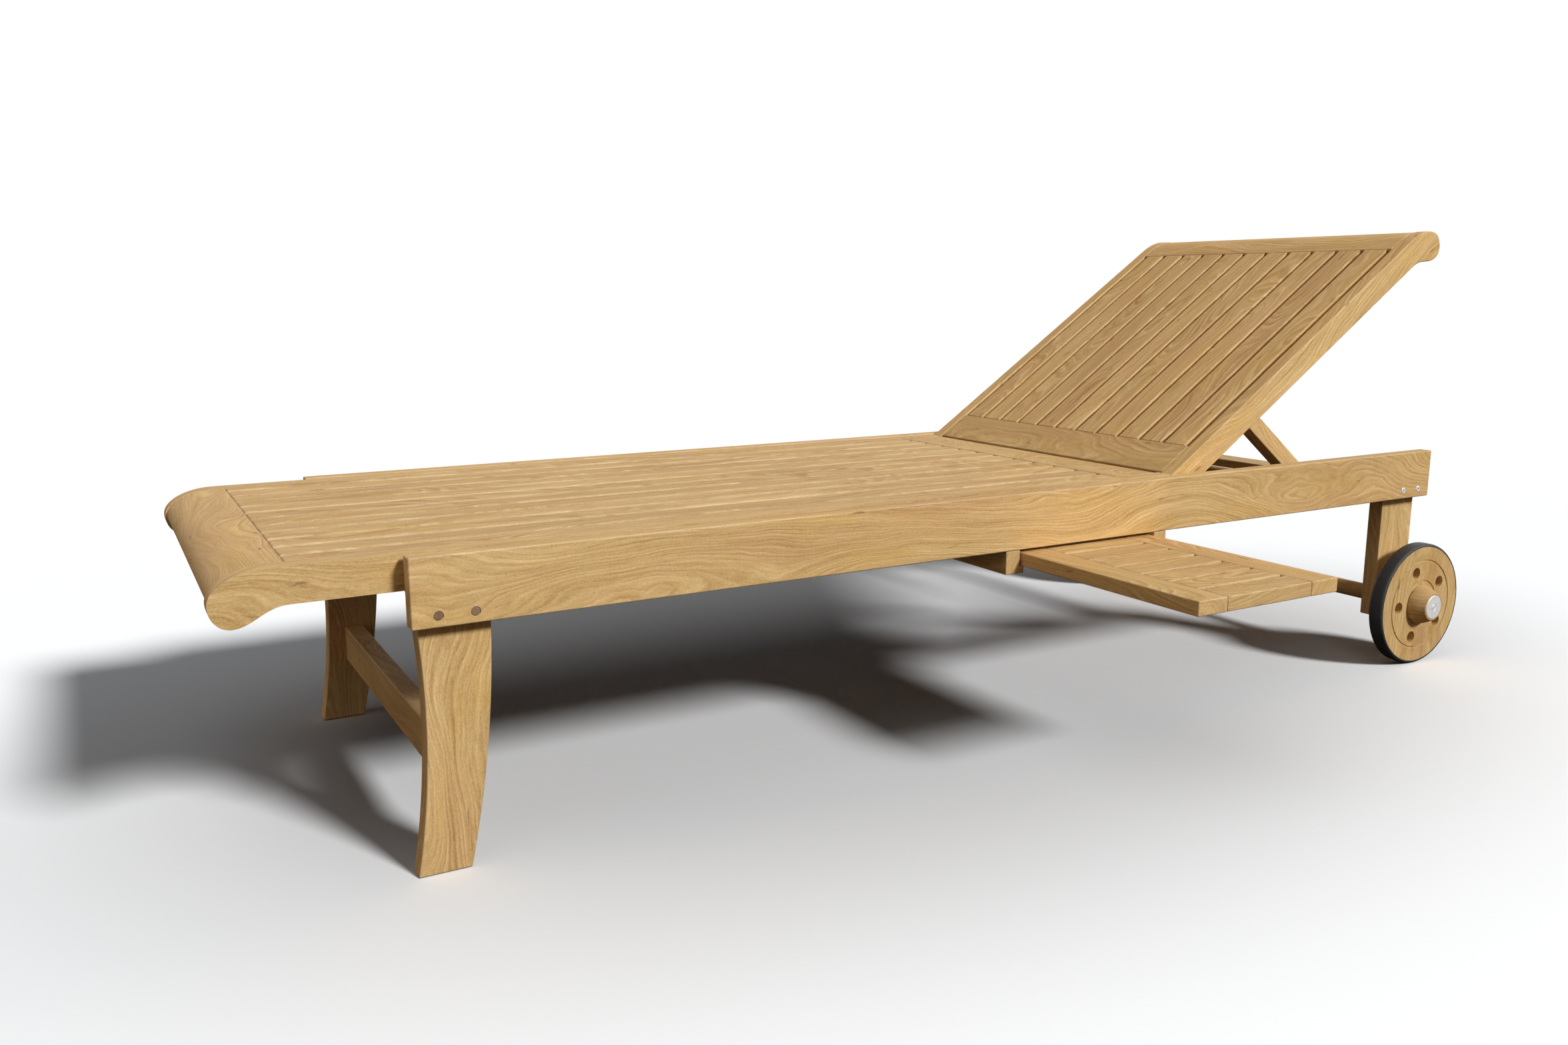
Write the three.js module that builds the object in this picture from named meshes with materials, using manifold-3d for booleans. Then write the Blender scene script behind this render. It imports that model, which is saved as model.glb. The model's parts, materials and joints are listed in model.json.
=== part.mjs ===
// Reclining sun lounger in solid hardwood: two side rails on four legs, a slatted seat whose side
// boards end in a scroll, a slatted back on two pivot pins, a swinging prop with a rack for its foot
// bar, a pull-out side tray and two wheels on a through axle.
//
// Millimetres. Working frame: +X from the foot end to the head end, +Y to the sitter's right,
// +Z up. x = 0 at the foot end of the side rails, y = 0 on the centre line, z = 0 on the ground.
// The exported group moves that frame so that its origin is the bottom centre of the whole box.

import * as THREE from "three";
import { mergeVertices } from "three/addons/utils/BufferGeometryUtils.js";
import Module from "manifold-3d";

const wasm = await Module();
wasm.setup();

// ---------------------------------------------------------------- driving dimensions

const FIT = 0.3; // gap between wooden pieces that are glued, tenoned or rested together
const PIN_FIT = 0.3; // radial gap of a pin, rod or screw in its hole

const RAIL_LENGTH = 1640;
const RAIL_DEPTH = 74.5;
const RAIL_THICKNESS = 21;
const OVERALL_WIDTH = 626; // over the outer faces of the side rails
const SEAT_HEIGHT = 348; // top of the side rails

// Seat and back are panels of one kind: scrolled side boards, end rails and slats.
const BOARD_DEPTH = 38.5;
const BOARD_THICKNESS = 22;
const PANEL_GAP = 7.5; // side rail to panel, each side
const PANEL_DROP = 0.5; // panel top below the top of the side rails
const PANEL_RAIL_DEPTH = 22;
const SLAT_THICKNESS = 12;
const BATTEN_WIDTH = 40;
const BATTEN_DEPTH = 20;
const BATTEN_LET_IN = 1.5; // a glued batten's depth into its slats

// Scroll at the end of a side board, measured back from its tip and down from its top.
const NOSE_LENGTH = 61;
const NOSE_DROP = 32.5;
const LOBE_LENGTH = 20.5;
const LOBE_DROP = 24.5;
const THROAT_LENGTH = 54;
const NOSING_INSET = 2.5; // the end rail's round nose stands this far behind the scroll
const NOSING_DROP = 12; // the nosing's lower edge below the scroll's tip

const SEAT_OVERHANG = 181; // scroll tip ahead of the side rails
const SEAT_FOOT_RAIL_WIDTH = 73.5;
const SEAT_HEAD_RAIL_WIDTH = 75;
const SEAT_HEAD_RAIL_EDGE = 1070;
const SEAT_SLAT_COUNT = 12;
const SEAT_SLAT_GAP = 7;
const SEAT_EDGE_SLAT_WIDTH = 28.7; // the outermost two; the others share the rest of the width
const SEAT_BATTENS = { foot: 20, head: 880 };
const CROSS_BEAM_EDGE = 1000;
const CROSS_BEAM_WIDTH = 40;

const PIVOT_X = 1088.8; // pivot of the back, at half the boards' depth
const PIVOT_PIN_RADIUS = 5;
const PIVOT_PIN_DEPTH = 10; // into the side rail
const PIVOT_COLLAR_RADIUS = 11;
const COPE_GAP = 1; // round board end to the seat board's hollow end
const RECLINE_REST = 33.7;
const RECLINE_MAX = 60;
const BACK_LENGTH = 666; // pivot to scroll tip
const BACK_TOP_RAIL_WIDTH = 82;
const BACK_BOTTOM_RAIL_EDGE = 6;
const BACK_BOTTOM_RAIL_WIDTH = 62;
const BACK_SLAT_COUNT = 11;
const BACK_SLAT_GAP = 8;
const BACK_BATTEN_EDGE = 425;

const PROP_PIVOT_ALONG = 192; // from the back's pivot, along the back
const PROP_PIVOT_BELOW = 7.5; // and below its middle line
const PROP_LENGTH = 211.6;
const PROP_REST_SLOPE = 37.5; // below the horizontal, with the back at rest
const PROP_RATIO = 1.94; // the prop's turn against the back, per turn of the back
const PROP_ARM_WIDTH = 26;
const PROP_ARM_THICKNESS = 25;
const PROP_ARM_GAP = 6; // side board to arm
const PROP_PIN_RADIUS = 4;
const PROP_PIN_DEPTH = 12; // into the side board
const PROP_PIN_HEAD_RADIUS = 8;
const PROP_PIN_HEAD_THICKNESS = 4;
const PROP_BAR_RADIUS = 8;
const PROP_BAR_END_GAP = 8; // side rail to the end of the bar
const RACK_THICKNESS = 24;
const RACK_CLEARANCE = 0.5; // bar above the teeth at the lowest point of its path
const RACK_END_LENGTH = 14; // rack beyond its last notch
const NOTCH_ANGLES = [24, RECLINE_REST, 43, 52, RECLINE_MAX];
const NOTCH_DEPTH = 6;

const LEG_THICKNESS = 24;
const FOOT_LEG = { soleFront: -2.5, soleBack: 54.5, topFront: 4.5, topBack: 86.5, bowFront: 26.5, bowBack: 90 };
const STRETCHER = { front: 34.5, width: 24.5, bottom: 86, depth: 49 };
const HEAD_LEG_FRONT = 1556;
const HEAD_LEG_WIDTH = 78.5;
const HEAD_LEG_GROUND = 76.5;
const HEAD_CROSS_RAIL = { front: 1506, width: 49.7, depth: 14, drop: 2.5 };

const WHEEL_X = 1609.5;
const WHEEL_RADIUS = 99.65;
const TYRE_THICKNESS = 4.3;
const TYRE_EDGE_THICKNESS = 1.1; // at its two faces
const TYRE_SHOULDER = 6; // width of its rounded shoulders
const WHEEL_WIDTH = 23.5;
const WHEEL_GAP = 1.2; // side rail's outer face to the wheel
const WHEEL_GROOVE_RADIUS = 72.6;
const WHEEL_GROOVE_WIDTH = 2.4;
const WHEEL_GROOVE_DEPTH = 1.4;
const WHEEL_HOLE_COUNT = 5;
const WHEEL_HOLE_RADIUS = 9.4;
const WHEEL_HOLE_CIRCLE = 55.8;
const WHEEL_SEAT_RADIUS = 40; // counterbore round the hub
const WHEEL_SEAT_DEPTH = 3;
const HUB_BASE_RADIUS = 36;
const HUB_END_RADIUS = 22.5;
const HUB_LENGTH = 23.5; // beyond the wheel's face
const HUB_SPIGOT_RADIUS = 20;
const CAP_RADIUS = 19.4;
const CAP_THICKNESS = 3;
const CAP_PROUD = 0.6;
const AXLE_ROD_RADIUS = 6;
const AXLE_SLEEVE_RADIUS = 13;
const HUB_BOSS_RADIUS = 12; // keeps the wheel off the leg

const TRAY_SLAT_COUNT = 13;
const TRAY_SLAT_WIDTH = 38;
const TRAY_SLAT_GAP = 6.3;
const TRAY_THICKNESS = 18;
const TRAY_STILE_WIDTH = 46.5;
const TRAY_FOOT_EDGE = 784.5;
const TRAY_WIDTH = 235;
const TRAY_OUT = 295; // how far it stands out of the side rail
const TRAY_CLEAT_WIDTH = 18; // strips under the slats' ends
const TRAY_CLEAT_DEPTH = 7;
const TRAY_CLEAT_SETBACK = 28; // from the first and last slats' outer edges
const TRAY_CLEAT_LET_IN = 1.5;
const TRAY_TOP_GAP = 4.2; // side rail to tray
const RUNNER_BODY = 23;
const RUNNER_DEPTH = 31;
const RUNNER_LIP = 7;
const RUNNER_SIDE_GAP = 3; // runner to tray
const RUNNER_SETBACK = 1; // runner end behind the side rail's outer face
const KEEPER_OVERLAP = 7; // keeper over the tray's edge
const KEEPER_THICKNESS = 8;
const KEEPER_BED = 2; // keeper below the top of the runner

const PLUG = { radius: 5.8, length: 8, rise: 12.5, stations: [27.5, 65.5] }; // rise above the rail's lower edge

// ---------------------------------------------------------------- derived places

const railOuterY = OVERALL_WIDTH / 2;
const railInnerY = railOuterY - RAIL_THICKNESS;
const railBottomZ = SEAT_HEIGHT - RAIL_DEPTH;
const panelOuterY = railInnerY - PANEL_GAP;
const panelInnerY = panelOuterY - BOARD_THICKNESS;
const panelTopZ = SEAT_HEIGHT - PANEL_DROP;
const boardTop = BOARD_DEPTH / 2; // boards are drawn about their middle line
const pivotZ = panelTopZ - boardTop;
const plugZ = railBottomZ + PLUG.rise;
const supportZ = panelTopZ - BOARD_DEPTH - FIT; // what carries the boards
const battenTop = boardTop - SLAT_THICKNESS - FIT; // drawn about the boards' middle line
const seatLength = PIVOT_X + SEAT_OVERHANG;
const axleZ = WHEEL_RADIUS;
const wheelInnerY = railOuterY + WHEEL_GAP;
const wheelOuterY = wheelInnerY + WHEEL_WIDTH;
const hubEndY = wheelOuterY + HUB_LENGTH;
const capOuterY = hubEndY + CAP_PROUD;
const legInnerY = railInnerY - LEG_THICKNESS;
const armOuterY = panelInnerY - PROP_ARM_GAP;
const armInnerY = armOuterY - PROP_ARM_THICKNESS;
const trayTopZ = railBottomZ - TRAY_TOP_GAP;
const trayHeadEdge = TRAY_FOOT_EDGE + TRAY_WIDTH;
const trayFrontY = -railOuterY - TRAY_OUT;
const traySlatPitch = TRAY_SLAT_WIDTH + TRAY_SLAT_GAP;
const trayBackY = trayFrontY + TRAY_SLAT_COUNT * traySlatPitch - TRAY_SLAT_GAP;

const SIDES = [["left", -1], ["right", 1]];
const SEGMENTS = 24; // sides of a small round piece
const WHEEL_SEGMENTS = 60;
const CURVE_STEPS = 6;

const WOOD = { color: 0xc4a06a, roughness: 0.62, metalness: 0 };
const PLUG_WOOD = { color: 0x8d7259, roughness: 0.7, metalness: 0 };
const RUBBER = { color: 0x26282a, roughness: 0.9, metalness: 0 };
const STEEL = { color: 0xc9cbcd, roughness: 0.35, metalness: 0.9 };

// ---------------------------------------------------------------- shape helpers

const radians = THREE.MathUtils.degToRad;
const middle = ([low, high]) => (low + high) / 2;
const mirrored = ([low, high], side) => (side > 0 ? [low, high] : [-high, -low]);

/** A named mesh with a material of its own, at a place in its parent. */
function addMesh(parent, name, geometry, look, place = [0, 0, 0]) {
  const mesh = new THREE.Mesh(geometry, new THREE.MeshStandardMaterial(look));
  mesh.name = name;
  mesh.position.set(...place);
  parent.add(mesh);
  return mesh;
}

/** A plain wooden box between limits along X, Y and Z. */
function addBlock(parent, name, xs, ys, zs) {
  return addMesh(parent, name, block(xs, ys, zs), WOOD);
}

/** Points of a path, anticlockwise, without the doubled ones where two of its curves meet. */
function pathPoints(path) {
  const all = path.getPoints(CURVE_STEPS);
  const points = all.filter((point, i) => point.distanceTo(all[(i + 1) % all.length]) > 1e-3);
  return THREE.ShapeUtils.isClockWise(points) ? points.reverse() : points;
}

/** A flat outline in the XZ plane, extruded to a board that is centred on y = 0. */
function board(outline, thickness) {
  const shape = new THREE.Shape(pathPoints(outline));
  shape.holes = outline.holes.map((hole) => new THREE.Path(pathPoints(hole)));
  const geometry = new THREE.ExtrudeGeometry(shape, { depth: thickness, bevelEnabled: false });
  return geometry.rotateX(Math.PI / 2).translate(0, thickness / 2, 0);
}

/** A round hole through an outline. */
function roundHole(x, z, radius) {
  return new THREE.Path().absarc(x, z, radius, 0, 2 * Math.PI, true);
}

/** A turned piece about the Y axis, from [radius, y] corners. */
function turned(corners, segments = SEGMENTS) {
  return new THREE.LatheGeometry(corners.map(([radius, y]) => new THREE.Vector2(radius, y)), segments);
}

/** A plain turned ring about the Y axis, between two radii. */
function ring(inner, outer, [low, high], segments = SEGMENTS) {
  return turned([[inner, low], [outer, low], [outer, high], [inner, high], [inner, low]], segments);
}

/** A round bar along Y. */
function rod(radius, [low, high], [x, z] = [0, 0]) {
  const geometry = new THREE.CylinderGeometry(radius, radius, high - low, SEGMENTS);
  return geometry.translate(x, (low + high) / 2, z);
}

/** The triangles of a closed geometry as a solid for cutting. */
function solidOf(geometry) {
  const bare = geometry.clone();
  bare.deleteAttribute("normal");
  bare.deleteAttribute("uv");
  const merged = mergeVertices(bare, 1e-4);
  const index = merged.index.array;
  const faces = [];
  for (let i = 0; i < index.length; i += 3) {
    const [a, b, c] = [index[i], index[i + 1], index[i + 2]];
    if (a !== b && b !== c && c !== a) faces.push(a, b, c);
  }
  return new wasm.Manifold(new wasm.Mesh({
    numProp: 3,
    vertProperties: merged.attributes.position.array,
    triVerts: new Uint32Array(faces),
  }));
}

/** The geometry of a solid. */
function geometryOf(solid) {
  const mesh = solid.getMesh();
  const result = new THREE.BufferGeometry();
  result.setAttribute("position", new THREE.BufferAttribute(mesh.vertProperties, 3));
  result.setIndex(new THREE.BufferAttribute(mesh.triVerts, 1));
  result.computeVertexNormals();
  return result;
}

/** A geometry with other geometries cut out of it. */
function cut(geometry, tools) {
  return geometryOf(tools.reduce((solid, tool) => solid.subtract(solidOf(tool)), solidOf(geometry)));
}

/** Overlapping geometries glued up as one piece. */
function joined([first, ...others]) {
  return geometryOf(others.reduce((solid, other) => solid.add(solidOf(other)), solidOf(first)));
}

/** A box geometry between limits along X, Y and Z. */
function block(xs, ys, zs) {
  const size = [xs, ys, zs].map(([low, high]) => high - low);
  return new THREE.BoxGeometry(...size).translate(...[xs, ys, zs].map(middle));
}

// ---------------------------------------------------------------- scrolled panels

/**
 * Outline of a side board about its middle line, from `start` along +X to the scroll's tip.
 * `closeEnd` draws the plain end from the underside back to the top.
 */
function scrollOutline(tip, startTop, closeEnd) {
  const lobeZ = boardTop - NOSE_DROP;
  const lobeX = tip - LOBE_LENGTH;
  const throatX = lobeX - THROAT_LENGTH;
  const outline = new THREE.Shape().moveTo(startTop, boardTop);
  outline.lineTo(tip - NOSE_LENGTH, boardTop);
  outline.absellipse(tip - NOSE_LENGTH, lobeZ, NOSE_LENGTH, NOSE_DROP, Math.PI / 2, 0, true);
  outline.absellipse(lobeX, lobeZ, LOBE_LENGTH, LOBE_DROP, 0, -Math.PI / 2, true);
  outline.bezierCurveTo(
    lobeX - THROAT_LENGTH * 0.36, lobeZ - LOBE_DROP,
    throatX + THROAT_LENGTH * 0.46, -boardTop,
    throatX, -boardTop,
  );
  closeEnd(outline);
  return outline;
}

/** Outline of an end rail whose nose follows the scroll, from its inner edge to the tip. */
function nosingOutline(tip, width) {
  const lobeZ = boardTop - NOSE_DROP;
  const lobeX = tip - LOBE_LENGTH;
  const edge = tip - width;
  const outline = new THREE.Shape().moveTo(edge, boardTop - PANEL_RAIL_DEPTH);
  outline.lineTo(edge, boardTop);
  outline.lineTo(tip - NOSE_LENGTH, boardTop);
  outline.absellipse(tip - NOSE_LENGTH, lobeZ, NOSE_LENGTH - NOSING_INSET, NOSE_DROP, Math.PI / 2, 0, true);
  outline.absellipse(lobeX, lobeZ, LOBE_LENGTH - NOSING_INSET, NOSING_DROP, 0, -Math.PI / 2, true);
  outline.bezierCurveTo(
    lobeX - LOBE_LENGTH, lobeZ - NOSING_DROP,
    edge + LOBE_LENGTH, boardTop - PANEL_RAIL_DEPTH,
    edge, boardTop - PANEL_RAIL_DEPTH,
  );
  return outline;
}

/** Limits across the panel of equal slats that fill it to a margin from each side board. */
function slatLimits(count, gap, margin) {
  const edge = panelInnerY - margin;
  const width = (2 * edge - (count - 1) * gap) / count;
  return Array.from({ length: count }, (_, i) => {
    const low = i * (width + gap) - edge;
    return [low, low + width];
  });
}

/** Limits of the seat's slats: equal ones between two narrow ones at the side boards. */
function seatSlatLimits() {
  const edge = panelInnerY - FIT;
  const inner = slatLimits(SEAT_SLAT_COUNT - 2, SEAT_SLAT_GAP, FIT + SEAT_EDGE_SLAT_WIDTH + SEAT_SLAT_GAP);
  return [[-edge, SEAT_EDGE_SLAT_WIDTH - edge], ...inner, [edge - SEAT_EDGE_SLAT_WIDTH, edge]];
}

function addSeat(parent) {
  const seat = new THREE.Group();
  seat.position.set(PIVOT_X, 0, pivotZ);
  seat.rotation.z = Math.PI; // the seat runs from the pivot towards the foot end
  parent.add(seat);

  // The boards' ends are hollowed for the round ends of the back's stiles. Above the hollow they
  // are cut back along the stiles' face at its steepest.
  const cope = boardTop + COPE_GAP;
  const steepest = radians(RECLINE_MAX);
  const relief = Math.PI / 2 - steepest;
  const topEnd = cope * Math.cos(relief) - (boardTop - cope * Math.sin(relief)) / Math.tan(steepest);
  const outline = scrollOutline(seatLength, topEnd, (path) => {
    path.absarc(0, 0, cope, -Math.asin(boardTop / cope), relief, false);
  });
  for (const [name, side] of SIDES) {
    const y = -side * (panelOuterY - BOARD_THICKNESS / 2);
    addMesh(seat, `seat_side_board_${name}`, board(outline, BOARD_THICKNESS), WOOD, [0, y, 0]);
  }

  const inner = 2 * (panelInnerY - FIT);
  addMesh(seat, "seat_foot_rail", board(nosingOutline(seatLength, SEAT_FOOT_RAIL_WIDTH), inner), WOOD);
  const headEdge = PIVOT_X - SEAT_HEAD_RAIL_EDGE;
  const headRail = [headEdge, headEdge + SEAT_HEAD_RAIL_WIDTH];
  const across = [-inner / 2, inner / 2];
  addBlock(seat, "seat_head_rail", headRail, across, [boardTop - PANEL_RAIL_DEPTH, boardTop]);

  const slatSpan = [headRail[1] + FIT, seatLength - SEAT_FOOT_RAIL_WIDTH - FIT];
  seatSlatLimits().forEach((ys, i) => {
    const name = `seat_slat_${String(i + 1).padStart(2, "0")}`;
    addBlock(seat, name, slatSpan, ys, [boardTop - SLAT_THICKNESS, boardTop]);
  });
  for (const [name, x] of Object.entries(SEAT_BATTENS)) {
    const xs = [PIVOT_X - x - BATTEN_WIDTH, PIVOT_X - x];
    addBlock(seat, `seat_batten_${name}`, xs, across, [battenTop - BATTEN_DEPTH, battenTop]);
  }
}

function addBack(parent) {
  const back = new THREE.Group();
  back.position.set(PIVOT_X, 0, pivotZ);
  back.rotation.y = -radians(RECLINE_REST);
  parent.add(back);

  const outline = scrollOutline(BACK_LENGTH, 0, (path) => {
    path.lineTo(0, -boardTop);
    path.absarc(0, 0, boardTop, -Math.PI / 2, Math.PI / 2, true);
  });
  outline.holes.push(roundHole(0, 0, PIVOT_PIN_RADIUS + PIN_FIT));
  for (const [name, side] of SIDES) {
    const centre = side * (panelOuterY - BOARD_THICKNESS / 2);
    const pinEnd = panelInnerY + PROP_PIN_DEPTH + FIT;
    const pinHole = mirrored([panelInnerY - 1, pinEnd], side).map((y) => y - centre);
    const socket = rod(PROP_PIN_RADIUS + PIN_FIT, pinHole, [PROP_PIVOT_ALONG, -PROP_PIVOT_BELOW]);
    const stile = cut(board(outline, BOARD_THICKNESS), [socket]);
    addMesh(back, `back_stile_${name}`, stile, WOOD, [0, centre, 0]);
  }

  const inner = 2 * (panelInnerY - FIT);
  const across = [-inner / 2, inner / 2];
  addMesh(back, "back_top_rail", board(nosingOutline(BACK_LENGTH, BACK_TOP_RAIL_WIDTH), inner), WOOD);
  const bottomRail = [BACK_BOTTOM_RAIL_EDGE, BACK_BOTTOM_RAIL_EDGE + BACK_BOTTOM_RAIL_WIDTH];
  addBlock(back, "back_bottom_rail", bottomRail, across, [boardTop - PANEL_RAIL_DEPTH, boardTop]);

  const slatSpan = [bottomRail[1] + FIT, BACK_LENGTH - BACK_TOP_RAIL_WIDTH - FIT];
  const slats = slatLimits(BACK_SLAT_COUNT, BACK_SLAT_GAP, BACK_SLAT_GAP).map((ys) => {
    return block(slatSpan, ys, [boardTop - SLAT_THICKNESS, boardTop]);
  });
  const battenSpan = [BACK_BATTEN_EDGE, BACK_BATTEN_EDGE + BATTEN_WIDTH];
  const batten = block(battenSpan, across, [battenTop - BATTEN_DEPTH, battenTop + BATTEN_LET_IN]);
  addMesh(back, "back_slat_panel", joined([batten, ...slats]), WOOD);

  const headTop = armInnerY - FIT;
  const pinProfile = [
    [0, headTop - PROP_PIN_HEAD_THICKNESS],
    [PROP_PIN_HEAD_RADIUS, headTop - PROP_PIN_HEAD_THICKNESS],
    [PROP_PIN_HEAD_RADIUS, headTop],
    [PROP_PIN_RADIUS, headTop],
    [PROP_PIN_RADIUS, panelInnerY + PROP_PIN_DEPTH],
    [0, panelInnerY + PROP_PIN_DEPTH],
  ];
  for (const [name, side] of SIDES) {
    const pin = turned(pinProfile).rotateZ(side > 0 ? 0 : Math.PI);
    addMesh(back, `prop_pivot_pin_${name}`, pin, STEEL, [PROP_PIVOT_ALONG, 0, -PROP_PIVOT_BELOW]);
  }
  addProp(back);
}

// ---------------------------------------------------------------- prop and its rack

/** Centre of the prop's foot bar, in the working frame, with the back raised by an angle. */
function propBarAt(recline) {
  const turn = radians(recline);
  const slope = radians(PROP_REST_SLOPE + (PROP_RATIO - 1) * (recline - RECLINE_REST));
  const pivotX = PIVOT_X + PROP_PIVOT_ALONG * Math.cos(turn) + PROP_PIVOT_BELOW * Math.sin(turn);
  const pivotHeight = pivotZ + PROP_PIVOT_ALONG * Math.sin(turn) - PROP_PIVOT_BELOW * Math.cos(turn);
  return { x: pivotX + PROP_LENGTH * Math.cos(slope), z: pivotHeight - PROP_LENGTH * Math.sin(slope) };
}

function addProp(back) {
  const prop = new THREE.Group();
  prop.position.set(PROP_PIVOT_ALONG, 0, -PROP_PIVOT_BELOW);
  prop.rotation.y = radians(RECLINE_REST + PROP_REST_SLOPE);
  back.add(prop);

  const half = PROP_ARM_WIDTH / 2;
  const outline = new THREE.Shape().moveTo(0, -half);
  outline.lineTo(PROP_LENGTH, -half);
  outline.absarc(PROP_LENGTH, 0, half, -Math.PI / 2, Math.PI / 2, false);
  outline.lineTo(0, half);
  outline.absarc(0, 0, half, Math.PI / 2, 1.5 * Math.PI, false);
  outline.holes.push(roundHole(0, 0, PROP_PIN_RADIUS + PIN_FIT));
  outline.holes.push(roundHole(PROP_LENGTH, 0, PROP_BAR_RADIUS + PIN_FIT));
  for (const [name, side] of SIDES) {
    const y = (side * (armInnerY + armOuterY)) / 2;
    addMesh(prop, `prop_arm_${name}`, board(outline, PROP_ARM_THICKNESS), WOOD, [0, y, 0]);
  }
  const reach = railInnerY - PROP_BAR_END_GAP;
  addMesh(prop, "prop_foot_bar", rod(PROP_BAR_RADIUS, [-reach, reach]), WOOD, [PROP_LENGTH, 0, 0]);
}

function addRacks(parent) {
  const path = Array.from({ length: RECLINE_MAX + 1 }, (_, angle) => propBarAt(angle).z);
  const top = Math.min(...path) - PROP_BAR_RADIUS - RACK_CLEARANCE;
  const notches = NOTCH_ANGLES.map((angle) => propBarAt(angle).x).sort((a, b) => a - b);
  const radius = PROP_BAR_RADIUS + PIN_FIT;
  const halfWidth = Math.sqrt(radius ** 2 - (radius - NOTCH_DEPTH) ** 2);
  const startAngle = Math.PI + Math.asin((radius - NOTCH_DEPTH) / radius);
  const front = notches[0] - halfWidth - RACK_END_LENGTH;
  const back = propBarAt(0).x + halfWidth;

  const outline = new THREE.Shape().moveTo(front, railBottomZ);
  outline.lineTo(front, top);
  for (const x of notches) {
    outline.lineTo(x - halfWidth, top);
    outline.absarc(x, top + radius - NOTCH_DEPTH, radius, startAngle, 3 * Math.PI - startAngle, false);
  }
  outline.lineTo(back, top);
  outline.lineTo(back, railBottomZ);
  for (const [name, side] of SIDES) {
    const y = side * (railInnerY - FIT - RACK_THICKNESS / 2);
    addMesh(parent, `prop_rack_${name}`, board(outline, RACK_THICKNESS), WOOD, [0, y, 0]);
  }
}

// ---------------------------------------------------------------- frame

function addSideRails(parent) {
  for (const [name, side] of SIDES) {
    const place = [RAIL_LENGTH / 2, (side * (railOuterY + railInnerY)) / 2, SEAT_HEIGHT - RAIL_DEPTH / 2];
    const plugSpan = mirrored([railOuterY - PLUG.length, railOuterY], side);
    const plugHole = mirrored([railOuterY - PLUG.length - FIT, railOuterY + 1], side);
    const pinHole = mirrored([railInnerY - 1, railInnerY + PIVOT_PIN_DEPTH + FIT], side);
    const tools = [
      ...PLUG.stations.map((x) => rod(PLUG.radius + PIN_FIT, plugHole, [x, plugZ])),
      rod(PIVOT_PIN_RADIUS + PIN_FIT, pinHole, [PIVOT_X, pivotZ]),
    ];
    tools.forEach((tool) => tool.translate(-place[0], -place[1], -place[2]));
    const blank = new THREE.BoxGeometry(RAIL_LENGTH, RAIL_THICKNESS, RAIL_DEPTH);
    addMesh(parent, `side_rail_${name}`, cut(blank, tools), WOOD, place);
    PLUG.stations.forEach((x, i) => {
      const plug = new THREE.CylinderGeometry(PLUG.radius, PLUG.radius, PLUG.length, SEGMENTS);
      addMesh(parent, `leg_plug_${name}_${i + 1}`, plug, PLUG_WOOD, [x, middle(plugSpan), plugZ]);
    });
  }
}

/** Shoulder pins: one end in the side rail, a collar in the gap, the other end in the back's stile. */
function addPivotPins(parent) {
  const collar = [panelOuterY + FIT, railInnerY - FIT];
  const corners = [
    [0, panelInnerY + FIT],
    [PIVOT_PIN_RADIUS, panelInnerY + FIT],
    [PIVOT_PIN_RADIUS, collar[0]],
    [PIVOT_COLLAR_RADIUS, collar[0]],
    [PIVOT_COLLAR_RADIUS, collar[1]],
    [PIVOT_PIN_RADIUS, collar[1]],
    [PIVOT_PIN_RADIUS, railInnerY + PIVOT_PIN_DEPTH],
    [0, railInnerY + PIVOT_PIN_DEPTH],
  ];
  for (const [name, side] of SIDES) {
    const pin = turned(corners).rotateZ(side > 0 ? 0 : Math.PI);
    addMesh(parent, `back_pivot_pin_${name}`, pin, STEEL, [PIVOT_X, 0, pivotZ]);
  }
}

function addFootLegs(parent) {
  const { soleFront, soleBack, topFront, topBack, bowFront, bowBack } = FOOT_LEG;
  const outline = new THREE.Shape().moveTo(soleFront, 0);
  outline.lineTo(soleBack, 0);
  outline.quadraticCurveTo(bowBack, supportZ / 2, topBack, supportZ);
  outline.lineTo(topFront, supportZ);
  outline.quadraticCurveTo(bowFront, supportZ / 2, soleFront, 0);
  for (const [name, side] of SIDES) {
    const y = side * (railInnerY - FIT - LEG_THICKNESS / 2);
    addMesh(parent, `foot_leg_${name}`, board(outline, LEG_THICKNESS), WOOD, [0, y, 0]);
  }
  const reach = legInnerY - 2 * FIT;
  const { front, width, bottom, depth } = STRETCHER;
  addBlock(parent, "foot_leg_stretcher", [front, front + width], [-reach, reach], [bottom, bottom + depth]);
}

function addHeadLegs(parent) {
  const back = HEAD_LEG_FRONT + HEAD_LEG_WIDTH;
  const outline = new THREE.Shape().moveTo(HEAD_LEG_FRONT, HEAD_LEG_GROUND);
  outline.lineTo(back, HEAD_LEG_GROUND);
  outline.lineTo(back, supportZ);
  outline.lineTo(HEAD_LEG_FRONT, supportZ);
  outline.holes.push(roundHole(WHEEL_X, axleZ, AXLE_ROD_RADIUS + PIN_FIT));
  for (const [name, side] of SIDES) {
    const y = side * (railInnerY - FIT - LEG_THICKNESS / 2);
    addMesh(parent, `head_leg_${name}`, board(outline, LEG_THICKNESS), WOOD, [0, y, 0]);
  }
}

function addCrossMembers(parent) {
  const reach = railInnerY - FIT;
  const beam = [CROSS_BEAM_EDGE, CROSS_BEAM_EDGE + CROSS_BEAM_WIDTH];
  const beamBottom = railBottomZ + KEEPER_THICKNESS; // on the head-side tray runner
  addBlock(parent, "seat_cross_beam", beam, [-reach, reach], [beamBottom, supportZ]);
  const { front, width, depth, drop } = HEAD_CROSS_RAIL;
  const top = supportZ + FIT - drop;
  addBlock(parent, "head_cross_rail", [front, front + width], [-reach, reach], [top - depth, top]);
}

// ---------------------------------------------------------------- axle and wheels

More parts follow.
